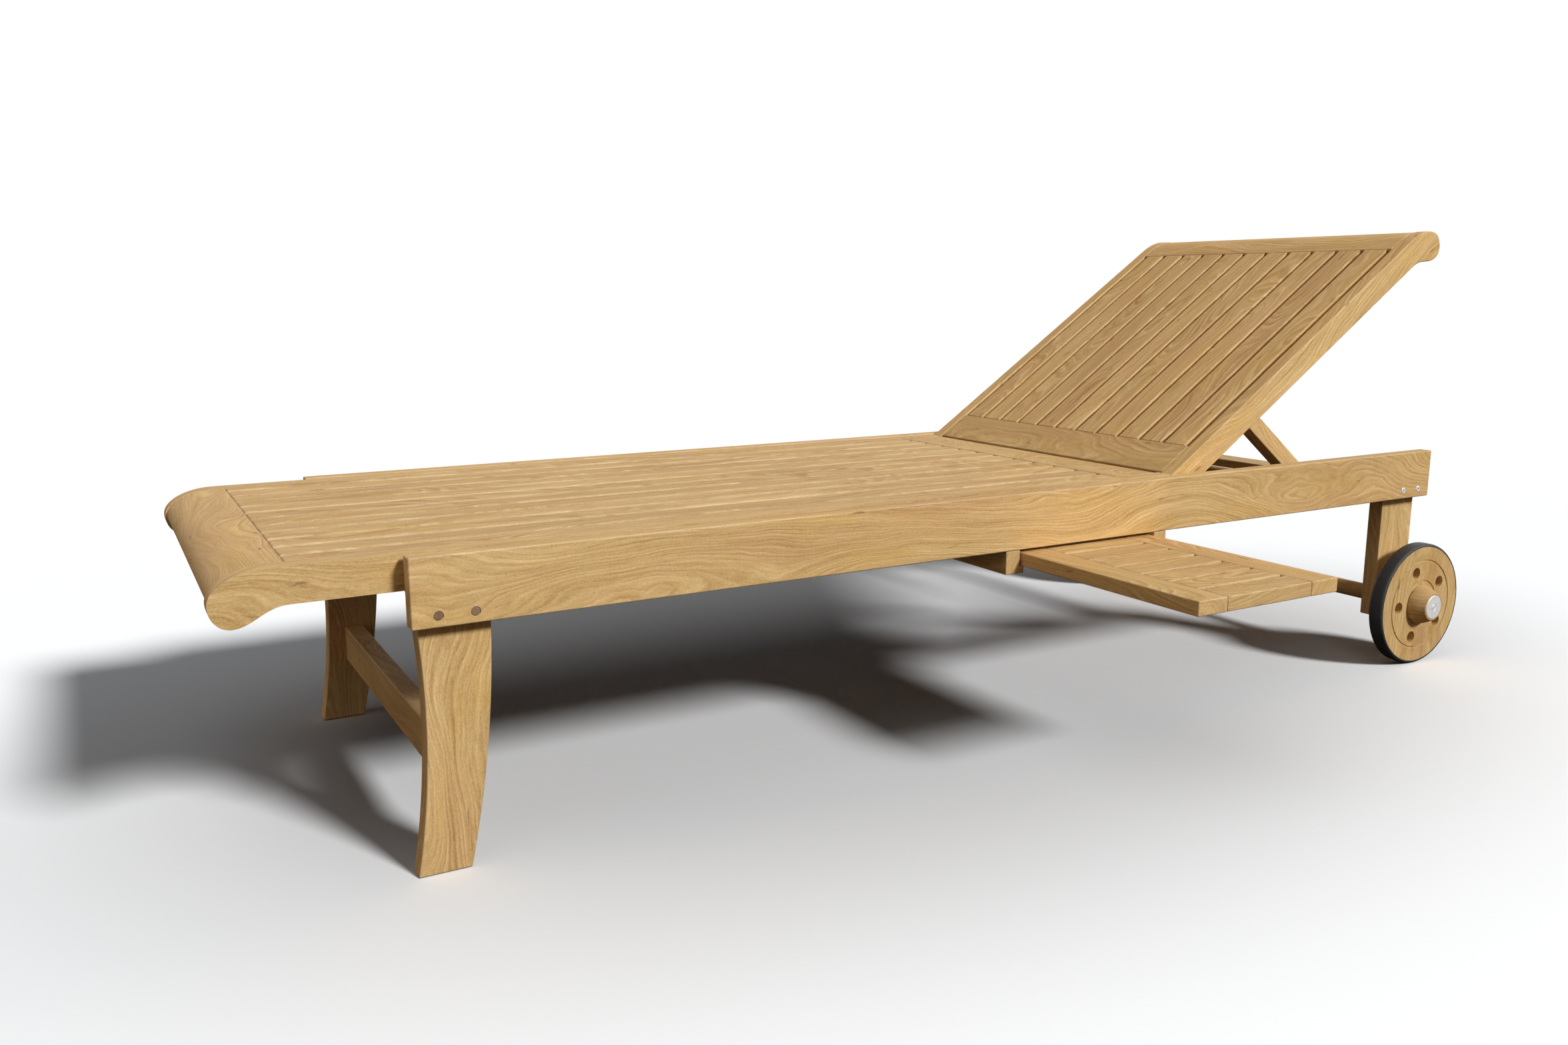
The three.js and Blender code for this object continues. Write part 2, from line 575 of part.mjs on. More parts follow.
function addAxle(parent) {
  const rodReach = hubEndY - CAP_THICKNESS - FIT;
  const sleeveReach = legInnerY - 2 * FIT;
  const bore = AXLE_ROD_RADIUS + PIN_FIT;
  const place = [WHEEL_X, 0, axleZ];
  addMesh(parent, "axle_rod", rod(AXLE_ROD_RADIUS, [-rodReach, rodReach]), STEEL, place);
  addMesh(parent, "axle_sleeve", ring(bore, AXLE_SLEEVE_RADIUS, [-sleeveReach, sleeveReach]), WOOD, place);
}

/** The wooden disc of a wheel whose outer face looks along +Y, about the axle at the origin. */
function wheelDisc() {
  const rim = WHEEL_RADIUS - TYRE_THICKNESS - FIT;
  const bore = HUB_SPIGOT_RADIUS + FIT;
  const floor = wheelOuterY - WHEEL_SEAT_DEPTH;
  const grooveIn = WHEEL_GROOVE_RADIUS - WHEEL_GROOVE_WIDTH / 2;
  const grooveOut = WHEEL_GROOVE_RADIUS + WHEEL_GROOVE_WIDTH / 2;
  const disc = turned([
    [bore, wheelInnerY],
    [rim, wheelInnerY],
    [rim, wheelOuterY],
    [grooveOut, wheelOuterY],
    [WHEEL_GROOVE_RADIUS, wheelOuterY - WHEEL_GROOVE_DEPTH],
    [grooveIn, wheelOuterY],
    [WHEEL_SEAT_RADIUS, wheelOuterY],
    [WHEEL_SEAT_RADIUS, floor],
    [bore, floor],
    [bore, wheelInnerY],
  ], WHEEL_SEGMENTS);
  const holes = Array.from({ length: WHEEL_HOLE_COUNT }, (_, i) => {
    const angle = (2 * Math.PI * (i + 0.5)) / WHEEL_HOLE_COUNT;
    const at = [WHEEL_HOLE_CIRCLE * Math.cos(angle), WHEEL_HOLE_CIRCLE * Math.sin(angle)];
    return rod(WHEEL_HOLE_RADIUS, [wheelInnerY - 1, wheelOuterY + 1], at);
  });
  return cut(disc, holes);
}

/** The turned hub: a boss towards the leg, a spigot in the disc, a flare and a seat for the cap. */
function wheelHub() {
  const bore = AXLE_ROD_RADIUS + PIN_FIT;
  const floor = wheelOuterY - WHEEL_SEAT_DEPTH + FIT;
  const recess = hubEndY - CAP_THICKNESS;
  const flare = new THREE.CubicBezierCurve(
    new THREE.Vector2(HUB_BASE_RADIUS, wheelOuterY),
    new THREE.Vector2(HUB_BASE_RADIUS - 3, wheelOuterY + HUB_LENGTH * 0.5),
    new THREE.Vector2(HUB_END_RADIUS + 3, wheelOuterY + HUB_LENGTH * 0.7),
    new THREE.Vector2(HUB_END_RADIUS, hubEndY),
  );
  const corners = [
    [bore, railInnerY],
    [HUB_BOSS_RADIUS, railInnerY],
    [HUB_BOSS_RADIUS, wheelInnerY],
    [HUB_SPIGOT_RADIUS, wheelInnerY],
    [HUB_SPIGOT_RADIUS, floor],
    [HUB_BASE_RADIUS, floor],
    ...flare.getPoints(2 * CURVE_STEPS).map((point) => point.toArray()),
    [CAP_RADIUS + FIT, hubEndY],
    [CAP_RADIUS + FIT, recess],
    [bore, recess],
    [bore, railInnerY],
  ];
  return turned(corners, 2 * SEGMENTS);
}

/** A thin tyre with rounded shoulders. */
function wheelTyre() {
  const bore = WHEEL_RADIUS - TYRE_THICKNESS;
  const edge = bore + TYRE_EDGE_THICKNESS;
  const shoulder = (centre, from, to) => {
    const arc = new THREE.EllipseCurve(edge, centre, WHEEL_RADIUS - edge, TYRE_SHOULDER, from, to);
    return arc.getPoints(CURVE_STEPS).map((point) => point.toArray());
  };
  const corners = [
    [bore, wheelInnerY],
    ...shoulder(wheelInnerY + TYRE_SHOULDER, -Math.PI / 2, 0),
    ...shoulder(wheelOuterY - TYRE_SHOULDER, 0, Math.PI / 2),
    [bore, wheelOuterY],
    [bore, wheelInnerY],
  ];
  return turned(corners, WHEEL_SEGMENTS);
}

function addWheels(parent) {
  const tyre = wheelTyre();
  const cap = rod(CAP_RADIUS, [hubEndY - CAP_THICKNESS + FIT, capOuterY]);
  for (const [name, side] of SIDES) {
    const wheel = new THREE.Group();
    wheel.position.set(WHEEL_X, 0, axleZ);
    wheel.rotation.x = side > 0 ? 0 : Math.PI;
    parent.add(wheel);
    addMesh(wheel, `wheel_disc_${name}`, wheelDisc(), WOOD);
    addMesh(wheel, `wheel_hub_${name}`, wheelHub(), WOOD);
    addMesh(wheel, `wheel_tyre_${name}`, tyre.clone(), RUBBER);
    addMesh(wheel, `wheel_cap_${name}`, cap.clone(), STEEL);
  }
}

// ---------------------------------------------------------------- tray

/** L-shaped runner section in the XZ plane, its lip towards +X, from x = 0 and z = 0 down. */
function runnerOutline() {
  const lipTop = -TRAY_TOP_GAP - TRAY_THICKNESS - FIT;
  const outline = new THREE.Shape().moveTo(0, 0);
  outline.lineTo(0, -RUNNER_DEPTH);
  outline.lineTo(RUNNER_BODY + RUNNER_LIP, -RUNNER_DEPTH);
  outline.lineTo(RUNNER_BODY + RUNNER_LIP, lipTop);
  outline.lineTo(RUNNER_BODY, lipTop);
  outline.lineTo(RUNNER_BODY, 0);
  return outline;
}

/** Full-length L section under the side rails, with a keeper over the tray between them. */
function addRunners(parent) {
  const reach = railOuterY - RUNNER_SETBACK;
  const outer = RUNNER_BODY + RUNNER_SIDE_GAP;
  const keeperReach = railInnerY - FIT;
  const keeper = block(
    [0, outer + KEEPER_OVERLAP],
    [-keeperReach, keeperReach],
    [-KEEPER_BED, KEEPER_THICKNESS],
  );
  const runner = joined([board(runnerOutline(), 2 * reach), keeper]);
  for (const [name, x, turn] of [["foot", TRAY_FOOT_EDGE - outer, 0], ["head", trayHeadEdge + outer, Math.PI]]) {
    const mesh = addMesh(parent, `tray_runner_${name}`, runner.clone(), WOOD, [x, 0, railBottomZ - FIT]);
    mesh.rotation.z = turn;
  }
}

function addTray(parent) {
  const tray = new THREE.Group();
  tray.position.set(0, trayFrontY, trayTopZ - TRAY_THICKNESS / 2);
  parent.add(tray);
  const ys = [0, trayBackY - trayFrontY];
  const zs = [-TRAY_THICKNESS / 2, TRAY_THICKNESS / 2];
  const footStile = [TRAY_FOOT_EDGE, TRAY_FOOT_EDGE + TRAY_STILE_WIDTH];
  const headStile = [trayHeadEdge - TRAY_STILE_WIDTH, trayHeadEdge];
  addBlock(tray, "tray_stile_foot", footStile, ys, zs);
  addBlock(tray, "tray_stile_head", headStile, ys, zs);
  const span = [footStile[1] + FIT, headStile[0] - FIT];
  const slats = Array.from({ length: TRAY_SLAT_COUNT }, (_, i) => {
    return block(span, [i * traySlatPitch, i * traySlatPitch + TRAY_SLAT_WIDTH], zs);
  });
  const cleatDepth = [zs[0] - TRAY_CLEAT_DEPTH, zs[0] + TRAY_CLEAT_LET_IN];
  const cleatSpan = [ys[0] + TRAY_CLEAT_SETBACK, ys[1] - TRAY_CLEAT_SETBACK];
  const cleats = [
    block([span[0], span[0] + TRAY_CLEAT_WIDTH], cleatSpan, cleatDepth),
    block([span[1] - TRAY_CLEAT_WIDTH, span[1]], cleatSpan, cleatDepth),
  ];
  addMesh(tray, "tray_slat_panel", joined([...slats, ...cleats]), WOOD);
}

// ---------------------------------------------------------------- assembly

const lounger = new THREE.Group();
lounger.position.x = -middle([-SEAT_OVERHANG, WHEEL_X + WHEEL_RADIUS]);
lounger.position.y = -middle([trayFrontY, capOuterY]);

addSideRails(lounger);
addFootLegs(lounger);
addHeadLegs(lounger);
addCrossMembers(lounger);
addSeat(lounger);
addPivotPins(lounger);
addBack(lounger);
addRacks(lounger);
addRunners(lounger);
addTray(lounger);
addAxle(lounger);
addWheels(lounger);

export default lounger;
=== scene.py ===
"""Looks of a reclining sun lounger in honey-coloured hardwood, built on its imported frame.

Every piece is in metres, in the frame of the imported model: +X from the foot end to the head end,
+Z up, and the sitter's left side, with the tray, at -Y. Each wooden piece has a frame of its own
whose x axis runs along its grain, and the wood is a solid pattern in that frame, so that faces,
edges and end grain all belong together.
"""

import json
import logging
import math
import random
from dataclasses import dataclass
from enum import Enum

import bmesh
import bpy
from mathutils import Matrix, Vector


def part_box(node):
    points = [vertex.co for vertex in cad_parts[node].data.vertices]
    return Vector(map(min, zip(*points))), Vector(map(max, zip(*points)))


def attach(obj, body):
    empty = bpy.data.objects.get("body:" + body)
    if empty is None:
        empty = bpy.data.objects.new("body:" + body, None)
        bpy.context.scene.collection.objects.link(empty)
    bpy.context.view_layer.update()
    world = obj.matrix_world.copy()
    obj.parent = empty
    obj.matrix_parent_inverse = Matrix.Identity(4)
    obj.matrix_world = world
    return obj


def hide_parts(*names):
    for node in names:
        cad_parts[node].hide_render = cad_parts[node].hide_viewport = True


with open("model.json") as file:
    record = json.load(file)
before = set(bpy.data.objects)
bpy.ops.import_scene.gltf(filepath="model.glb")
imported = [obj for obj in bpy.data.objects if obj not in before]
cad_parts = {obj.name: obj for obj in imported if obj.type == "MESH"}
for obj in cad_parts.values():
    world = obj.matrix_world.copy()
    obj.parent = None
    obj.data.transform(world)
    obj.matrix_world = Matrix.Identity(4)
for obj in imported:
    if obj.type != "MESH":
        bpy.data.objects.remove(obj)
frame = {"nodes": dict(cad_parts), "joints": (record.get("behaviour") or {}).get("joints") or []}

logging.basicConfig(level=logging.INFO, format="%(name)s: %(message)s")
log = logging.getLogger("lounger")

Point = tuple[float, float]
Triple = tuple[float, float, float]
Colour = tuple[float, float, float, float]
Material = bpy.types.Material
Mesh = bpy.types.Mesh
Piece = bpy.types.Object
Socket = bpy.types.NodeSocket
Value = bpy.types.NodeSocket | float | tuple

STEEL_SLOT = "steel"
WOOD_SLOT = "wood"
WHITE: Colour = (1.0, 1.0, 1.0, 1.0)
FIT = 0.0003  # gap between pieces that meet
ON_AXIS = 1e-7  # a radius below this is a point on the axis
SHARP = math.radians(32)  # faces that meet at a greater angle keep a sharp edge
ACROSS = Matrix.Rotation(math.pi / 2, 4, "Z")


class Cut(Enum):
    """How a board was sawn: the heart's least and greatest distance, and its turn in degrees."""

    FLAT = (0.03, 0.06, 12)
    RIFT = (0.08, 0.13, 45)
    QUARTER = (0.16, 0.3, 82)


class Axis(Enum):
    """An axis of a frame."""

    X = "X"
    Y = "Y"
    Z = "Z"


class Named(Enum):
    """A choice that reads as its own name in small letters."""

    def __str__(self) -> str:
        """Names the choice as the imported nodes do."""
        return self.name.lower()


class Side(Named):
    """A side of the lounger and its direction along Y."""

    LEFT = -1
    RIGHT = 1


class End(Named):
    """An end of the lounger and the direction along X from it to the other end."""

    FOOT = 1
    HEAD = -1


# ---- node helpers


@dataclass(frozen=True)
class Layer:
    """A layer of solid noise.

    Attributes:
        scale: How many of its waves fill a metre along x, y and z.
        detail: The number of finer layers in it.
        rough: How strong the finer layers are.
        limits: The noise values at which it starts and is full.
        strength: How much it counts.
    """

    scale: Triple
    detail: float = 2.0
    rough: float = 0.5
    limits: Point = (0.0, 1.0)
    strength: float = 1.0


class NodeBoard:
    """A node tree with short ways to add and join its nodes."""

    def __init__(self, owner: Material | bpy.types.World) -> None:
        """Empties the tree of a new material or world."""
        owner.use_nodes = True
        self.owner = owner
        self.tree = owner.node_tree
        self.tree.nodes.clear()

    def add(self, kind: str, inputs: dict | None = None, **settings: object) -> bpy.types.Node:
        """Adds a node.

        Args:
            kind: The node's type, without its ShaderNode prefix.
            inputs: Values or output sockets by the input's name or number.
            settings: The node's own properties.

        Returns:
            The new node.
        """
        node = self.tree.nodes.new("ShaderNode" + kind)
        for key, value in settings.items():
            setattr(node, key, value)
        for key, value in (inputs or {}).items():
            if isinstance(value, Socket):
                self.tree.links.new(value, node.inputs[key])
            else:
                node.inputs[key].default_value = value
        return node

    def own(self, name: str, output: str = "Fac") -> Socket:
        """Reads a property that each piece carries."""
        return self.add("Attribute", attribute_type="OBJECT", attribute_name=name).outputs[output]

    def math(self, operation: str, a: Value, b: Value = 0.0, clamp: bool = False) -> Socket:
        """Adds a sum on one or two numbers, kept between 0 and 1 by clamp."""
        return self.add("Math", {0: a, 1: b}, operation=operation, use_clamp=clamp).outputs[0]

    def times(self, first: Value, *factors: Value) -> Socket:
        """Multiplies numbers."""
        for factor in factors:
            first = self.math("MULTIPLY", first, factor)
        return first

    def vector(self, operation: str, a: Value, b: Value) -> Socket:
        """Adds a sum on two vectors."""
        return self.add("VectorMath", {0: a, 1: b}, operation=operation).outputs[0]

    def noise(self, place: Socket, layer: Layer) -> Socket:
        """Adds a layer's noise, from 0 to 1."""
        inputs = {"Scale": 1.0, "Detail": layer.detail, "Roughness": layer.rough}
        inputs["Vector"] = self.vector("MULTIPLY", place, layer.scale)
        return self.add("TexNoise", inputs).outputs[0]

    def ramp(self, value: Value, low: float, high: float) -> Socket:
        """Maps a value smoothly to 0 at its low limit and 1 at its high one."""
        inputs = {"Value": value, "From Min": low, "From Max": high}
        return self.add("MapRange", inputs, interpolation_type="SMOOTHSTEP").outputs[0]

    def spread(self, value: Value, low: float, high: float) -> Socket:
        """Maps a value from 0 to 1 evenly onto other limits."""
        return self.add("MapRange", {"Value": value, "To Min": low, "To Max": high}).outputs[0]

    def patches(self, place: Socket, layer: Layer) -> Socket:
        """Adds the share of a layer's patches, within its limits and at its strength."""
        share = self.ramp(self.noise(place, layer), *layer.limits)
        return share if layer.strength == 1.0 else self.times(share, layer.strength)

    def blend(self, share: Value, a: Value, b: Value, kind: str = "MIX") -> Socket:
        """Mixes a share of the second colour into the first, in one of Blender's modes."""
        colours = {0: share, 6: a, 7: b}
        return self.add("Mix", colours, data_type="RGBA", blend_type=kind).outputs[2]

    def surface(self, colour: Value, rough: Value, height: Value, relief: Point,
                **more: float) -> Material:
        """Ends the tree in a principled shader.

        Args:
            colour: The base colour.
            rough: The roughness.
            height: The height that the bump follows.
            relief: The bump's strength and its distance in metres.
            more: The shader's other values, with _ for a space in the name.

        Returns:
            The finished material.
        """
        bump = self.add("Bump", {"Strength": relief[0], "Distance": relief[1], "Height": height})
        inputs = {"Base Color": colour, "Roughness": rough, "Normal": bump.outputs[0]}
        inputs |= {name.replace("_", " "): value for name, value in more.items()}
        return self.finish(self.add("BsdfPrincipled", inputs))

    def finish(self, shader: bpy.types.Node, kind: str = "OutputMaterial") -> Material:
        """Joins the last shader to the output and gives the tree's owner."""
        self.add(kind, {"Surface": shader.outputs[0]})
        return self.owner


def srgb(code: str) -> Colour:
    """Turns a colour written as six hexadecimal digits into scene values.

    Args:
        code: The colour's digits, red first.

    Returns:
        The linear colour with full opacity.
    """
    parts = [int(code[i : i + 2], 16) / 255 for i in (0, 2, 4)]
    linear = [c / 12.92 if c <= 0.04045 else ((c + 0.055) / 1.055) ** 2.4 for c in parts]
    return (*linear, 1.0)


# ---- finishes


@dataclass(frozen=True)
class WoodFinish:
    """Oiled hardwood with growth rings about a heart line beside each board."""

    name: str
    # colours and surface
    early: str = "D2B079"
    late: str = "A2733C"
    pale: str = "E3C994"
    blush: str = "CAA270"
    gold: str = "D0A964"
    mark: str = "7E5428"
    shadow: Colour = (0.62, 0.53, 0.38, 1.0)
    light: Colour = (1.38, 1.47, 1.62, 1.0)
    roughness: float = 0.60
    rough_swing: Point = (-0.07, 0.09)
    specular: float = 0.15
    relief: Point = (0.25, 0.0006)
    fibre_height: float = 0.7
    late_height: float = -0.35
    # growth rings: their width, and limits within one ring from 0 to 1
    ring: float = 0.0040
    line: float = 0.55
    pale_line: float = 0.36
    late_grows: Point = (0.42, 0.88)
    late_ends: Point = (1.0, 0.90)
    pale_starts: Point = (0.0, 0.05)
    pale_fades: Point = (0.40, 0.05)
    drift: float = 0.33
    drift_size: float = 1.5
    drift_limits: Point = (0.35, 0.7)
    ring_strength: Point = (0.2, 1.0)
    patch_strength: Point = (0.35, 1.0)
    ring_shade: float = 0.2
    flow_depth: float = 0.25
    # patches, fibres and pores, and how the rings wander
    cloud: Layer = Layer((3.0, 12.0, 12.0), limits=(0.40, 0.76))
    glow: Layer = Layer((6.0, 34.0, 34.0), limits=(0.45, 0.75), strength=0.55)
    stain: Layer = Layer((26.0, 120.0, 120.0), 1.0, limits=(0.70, 0.80), strength=0.55)
    pore: Layer = Layer((130.0, 1700.0, 1700.0), 1.0, limits=(0.60, 0.72), strength=0.14)
    patch: Layer = Layer((9.0, 40.0, 40.0), 1.0, limits=(0.3, 0.7))
    band: Layer = Layer((3.5, 80.0, 60.0), 1.0, strength=0.42)
    streak: Layer = Layer((7.0, 260.0, 120.0), 2.0, 0.55, strength=0.60)
    fibre: Layer = Layer((36.0, 900.0, 500.0), 2.0, 0.6, strength=0.62)
    fleck: Layer = Layer((420.0, 1150.0, 1150.0), 2.0, 0.65, strength=0.80)
    warps: tuple[Layer, ...] = (
        Layer((2.4, 8.0, 8.0), 1.0, strength=0.120),
        Layer((7.0, 19.0, 19.0), 1.0, strength=0.020),
        Layer((22.0, 28.0, 28.0), 1.0, strength=0.0038),
        Layer((70.0, 160.0, 160.0), 2.0, strength=0.0012),
    )

    def material(self) -> Material:
        """Builds the node material.

        Returns:
            The material, which reads each piece's own heart, figure, tone and vigour.
        """
        board = NodeBoard(bpy.data.materials.new(self.name))
        place = board.add("TexCoord").outputs["Object"]
        heart = board.add("SeparateXYZ", {0: board.own("heart", "Vector")})
        seed = heart.outputs[0]
        shift = board.add("CombineXYZ", {0: seed, 1: seed, 2: seed}).outputs[0]
        grain = board.vector("ADD", place, shift)
        reach = self.reach(board, place, grain, heart)
        late, pale, uneven = self.rings(board, grain, reach)
        vigour = board.own("vigour")

        colour = board.blend(board.patches(grain, self.cloud), srgb(self.early), srgb(self.blush))
        colour = board.blend(board.patches(grain, self.glow), colour, srgb(self.gold))
        lines = ((pale, self.pale_line, self.pale), (late, self.line, self.late))
        for share, strength, shade in lines:
            share = board.math("MULTIPLY", board.times(share, strength), vigour, clamp=True)
            colour = board.blend(share, colour, srgb(shade))
        colour = board.blend(board.patches(grain, self.stain), colour, srgb(self.mark))

        along = board.add("SeparateXYZ", {0: grain}).outputs
        across = board.times(board.math("ADD", along[1], along[2]), self.flow_depth)
        flow = board.add("CombineXYZ", {0: along[0], 1: reach, 2: across}).outputs[0]
        fibre = board.noise(flow, self.fibre)
        swings = (
            (board.noise(flow, self.band), self.band.strength),
            (board.noise(flow, self.streak), self.streak.strength),
            (fibre, self.fibre.strength),
            (board.noise(grain, self.fleck), self.fleck.strength),
            (uneven, self.ring_shade),
        )
        shade = 0.5
        for value, swing in swings:
            shade = board.math("ADD", shade, board.times(board.math("SUBTRACT", value, 0.5), swing))
        shade = board.math("SUBTRACT", shade, board.patches(grain, self.pore), clamp=True)
        tint = board.blend(shade, self.shadow, self.light)
        colour = board.blend(1.0, colour, tint, "MULTIPLY")
        toned = board.add("VectorMath", {0: colour, "Scale": board.own("tone")}, operation="SCALE")

        ridges, dips = board.times(fibre, self.fibre_height), board.times(late, self.late_height)
        height = board.math("ADD", ridges, dips)
        rough = board.spread(fibre, *(self.roughness + swing for swing in self.rough_swing))
        return board.surface(toned.outputs[0], rough, height, self.relief,
                             Specular_IOR_Level=self.specular)

    def reach(self, board: NodeBoard, place: Socket, grain: Socket,
              heart: bpy.types.Node) -> Socket:
        """Measures the distance from the wandering heart.

        Args:
            board: The node board.
            place: Place in the piece.
            grain: Place in the piece's own stretch of noise.
            heart: The heart's parts.

        Returns:
            The distance in metres.
        """
        spot = board.add("SeparateXYZ", {0: place})
        y, z = (board.math("SUBTRACT", spot.outputs[i], heart.outputs[i]) for i in (1, 2))
        reach = board.math("SQRT", board.math("ADD", board.times(y, y), board.times(z, z)))
        figure = board.own("figure")
        for warp in self.warps:
            bend = board.math("SUBTRACT", board.noise(grain, warp), 0.5)
            reach = board.math("ADD", reach, board.times(bend, warp.strength, figure))
        return reach

    def rings(self, board: NodeBoard, grain: Socket,
              reach: Socket) -> tuple[Socket, Socket, Socket]:
        """Lays the growth rings.

        Args:
            board: The node board.
            grain: Place in the piece's own stretch of noise.
            reach: Distance from the heart.

        Returns:
            The darkness of the late wood, the paleness of the early wood, and a value that differs
            from ring to ring.
        """
        rings = board.math("DIVIDE", reach, self.ring)
        drift = {"W": board.times(rings, self.drift), "Scale": 1.0, "Detail": 2.0}
        uneven = board.add("TexNoise", drift, noise_dimensions="1D").outputs[0]
        phase = board.math("FRACT", board.math("ADD", rings, board.times(uneven, self.drift_size)))
        wave = board.times(board.ramp(phase, *self.late_grows), board.ramp(phase, *self.late_ends))
        pale = board.times(board.ramp(phase, *self.pale_fades),
                           board.ramp(phase, *self.pale_starts))
        strength = board.spread(board.ramp(uneven, *self.drift_limits), *self.ring_strength)
        vigour = board.spread(board.patches(grain, self.patch), *self.patch_strength)
        return board.times(wave, strength, vigour), board.times(pale, vigour), uneven


@dataclass(frozen=True)
class RubberFinish:
    """Black rubber with a fine grit and a little dust."""

    name: str
    colour: str = "232527"
    dusty: str = "34363A"
    roughness: float = 0.52
    rough_swing: Point = (-0.1, 0.1)
    relief: Point = (0.9, 0.0011)
    grit: Layer = Layer((520.0, 520.0, 520.0), 3.0, 0.65)
    dust: Layer = Layer((30.0, 30.0, 30.0), 3.0, limits=(0.45, 0.8))

    def material(self) -> Material:
        """Builds the node material."""
        board = NodeBoard(bpy.data.materials.new(self.name))
        place = board.add("TexCoord").outputs["Object"]
        grit = board.noise(place, self.grit)
        colour = board.blend(board.patches(place, self.dust), srgb(self.colour), srgb(self.dusty))
        rough = board.spread(grit, *(self.roughness + swing for swing in self.rough_swing))
        return board.surface(colour, rough, grit, self.relief)


@dataclass(frozen=True)
class MetalFinish:
    """Satin steel with faint turning marks."""

    name: str
    colour: str = "EDEDEC"
    smudged: str = "DCDCDB"
    roughness: float = 0.46
    rough_swing: Point = (-0.06, 0.1)
    metallic: float = 0.25
    relief: Point = (0.08, 0.0002)
    smudge: Layer = Layer((120.0, 120.0, 120.0), 3.0, limits=(0.35, 0.75))
    marks: Layer = Layer((2200.0, 500.0, 500.0), 2.0)

    def material(self) -> Material:
        """Builds the node material."""
        board = NodeBoard(bpy.data.materials.new(self.name))
        place = board.add("TexCoord").outputs["Object"]
        smudge = board.noise(place, self.smudge)
        share = board.ramp(smudge, *self.smudge.limits)
        colour = board.blend(share, srgb(self.colour), srgb(self.smudged))
        rough = board.spread(smudge, *(self.roughness + swing for swing in self.rough_swing))
        marks = board.noise(place, self.marks)
        return board.surface(colour, rough, marks, self.relief, Metallic=self.metallic)


class Finishes:
    """The lounger's finishes, each built once."""

    def __init__(self) -> None:
        """Builds the materials."""
        self.board = WoodFinish("honey_hardwood").material()
        # the eased edges' wood is paler and less saturated than the boards: a painted highlight
        # along the arrises
        self.edge = WoodFinish(
            "honey_hardwood_worn_edge", early="D1B384", late="A67C4C", pale="DDC69B",
            blush="C6A476", gold="CCAB70", line=0.45, roughness=0.56,
        ).material()
        self.plug = WoodFinish(
            "plug_end_grain", early="8F745B", late="604838", pale="9A7F64", blush="7C624E",
            gold="866A52", ring=0.0016, roughness=0.66,
        ).material()
        self.rubber = RubberFinish("tyre_rubber").material()
        self.steel = MetalFinish("satin_steel").material()
        # the screws' sockets get a dark steel: painted shade in their hollows
        self.socket = MetalFinish("screw_socket", colour="4A4743", roughness=0.6).material()


# ---- mesh making


def prism(outline: list[Point], length: float, along_x: bool = False) -> Mesh:
    """Makes a solid of one section, with the middle of its length at the origin.

    Args:
        outline: The section's corners as (x, z), or as (y, z) for a piece along x.
        length: Its length along y, or along x.
        along_x: True to run the section along x.

    Returns:
        The mesh, with its faces outward.
    """
    shape = bmesh.new()
    ends = []
    for depth in (-length / 2, length / 2):
        corners = [(depth, a, b) if along_x else (a, depth, b) for a, b in outline]
        ends.append([shape.verts.new(corner) for corner in corners])
    shape.faces.new(ends[0])
    shape.faces.new(reversed(ends[1]))
    count = len(outline)
    for i in range(count):
        j = (i + 1) % count
        shape.faces.new((ends[0][j], ends[0][i], ends[1][i], ends[1][j]))
    return to_mesh(shape)


def crosswise(section: list[Point], length: float) -> Mesh:
    """Makes a piece of one section whose length lies across its sub-assembly."""
    return prism([(-u, w) for u, w in section], length, along_x=True)


def block(size: Triple) -> Mesh:
    """Makes a box about its own centre from its length, width and depth."""
    length, width, depth = size[0], size[1] / 2, size[2] / 2
    section = [(-width, -depth), (width, -depth), (width, depth), (-width, depth)]
    return prism(section, length, along_x=True)


def turned(profile: list[Point], axis: Axis = Axis.X, segments: int = 96) -> Mesh:
    """Turns a closed profile, or one that starts and ends on the axis.

    Args:
        profile: Corners as (radius, place along the axis).
        axis: The axis that the profile turns about, X or Z.
        segments: Faces around the piece.

    Returns:
        The mesh, with its faces outward.
    """
    shape = bmesh.new()
    rings = []
    for radius, along in profile:
        ring = []
        for k in range(segments if radius > ON_AXIS else 1):
            angle = 2 * math.pi * k / segments
            across = (radius * math.cos(angle), radius * math.sin(angle))
            corner = (along, *across) if axis is Axis.X else (*across, along)
            ring.append(shape.verts.new(corner))
        rings.append(ring)
    closed = len(rings[0]) > 1
    for a, b in zip(rings, rings[1:] + (rings[:1] if closed else [])):
        for k in range(segments):
            n = (k + 1) % segments
            corners = [a[k % len(a)], a[n % len(a)], b[n % len(b)], b[k % len(b)]]
            unique = list(dict.fromkeys(corners))
            if len(unique) > 2:
                shape.faces.new(unique)
    return to_mesh(shape)


def to_mesh(shape: bmesh.types.BMesh) -> Mesh:
    """Closes a mesh in the making.

    Args:
        shape: The bmesh, which is freed.

    Returns:
        The mesh, smooth, with its sharp edges marked.
    """
    bmesh.ops.recalc_face_normals(shape, faces=shape.faces)
    mesh = bpy.data.meshes.new("piece")
    shape.to_mesh(mesh)
    shape.free()
    for polygon in mesh.polygons:
        polygon.use_smooth = True
    mesh.set_sharp_from_angle(angle=SHARP)
    return mesh


def rod(radius: float, low: float, high: float) -> list[Point]:
    """Profile of a plain rod between two places on its axis."""
    return [(0.0, low), (radius, low), (radius, high), (0.0, high)]


def rectangle(low: Point, high: Point) -> list[Point]:
    """Outlines a rectangle between two opposite corners."""
    return [low, (low[0], high[1]), high, (high[0], low[1])]


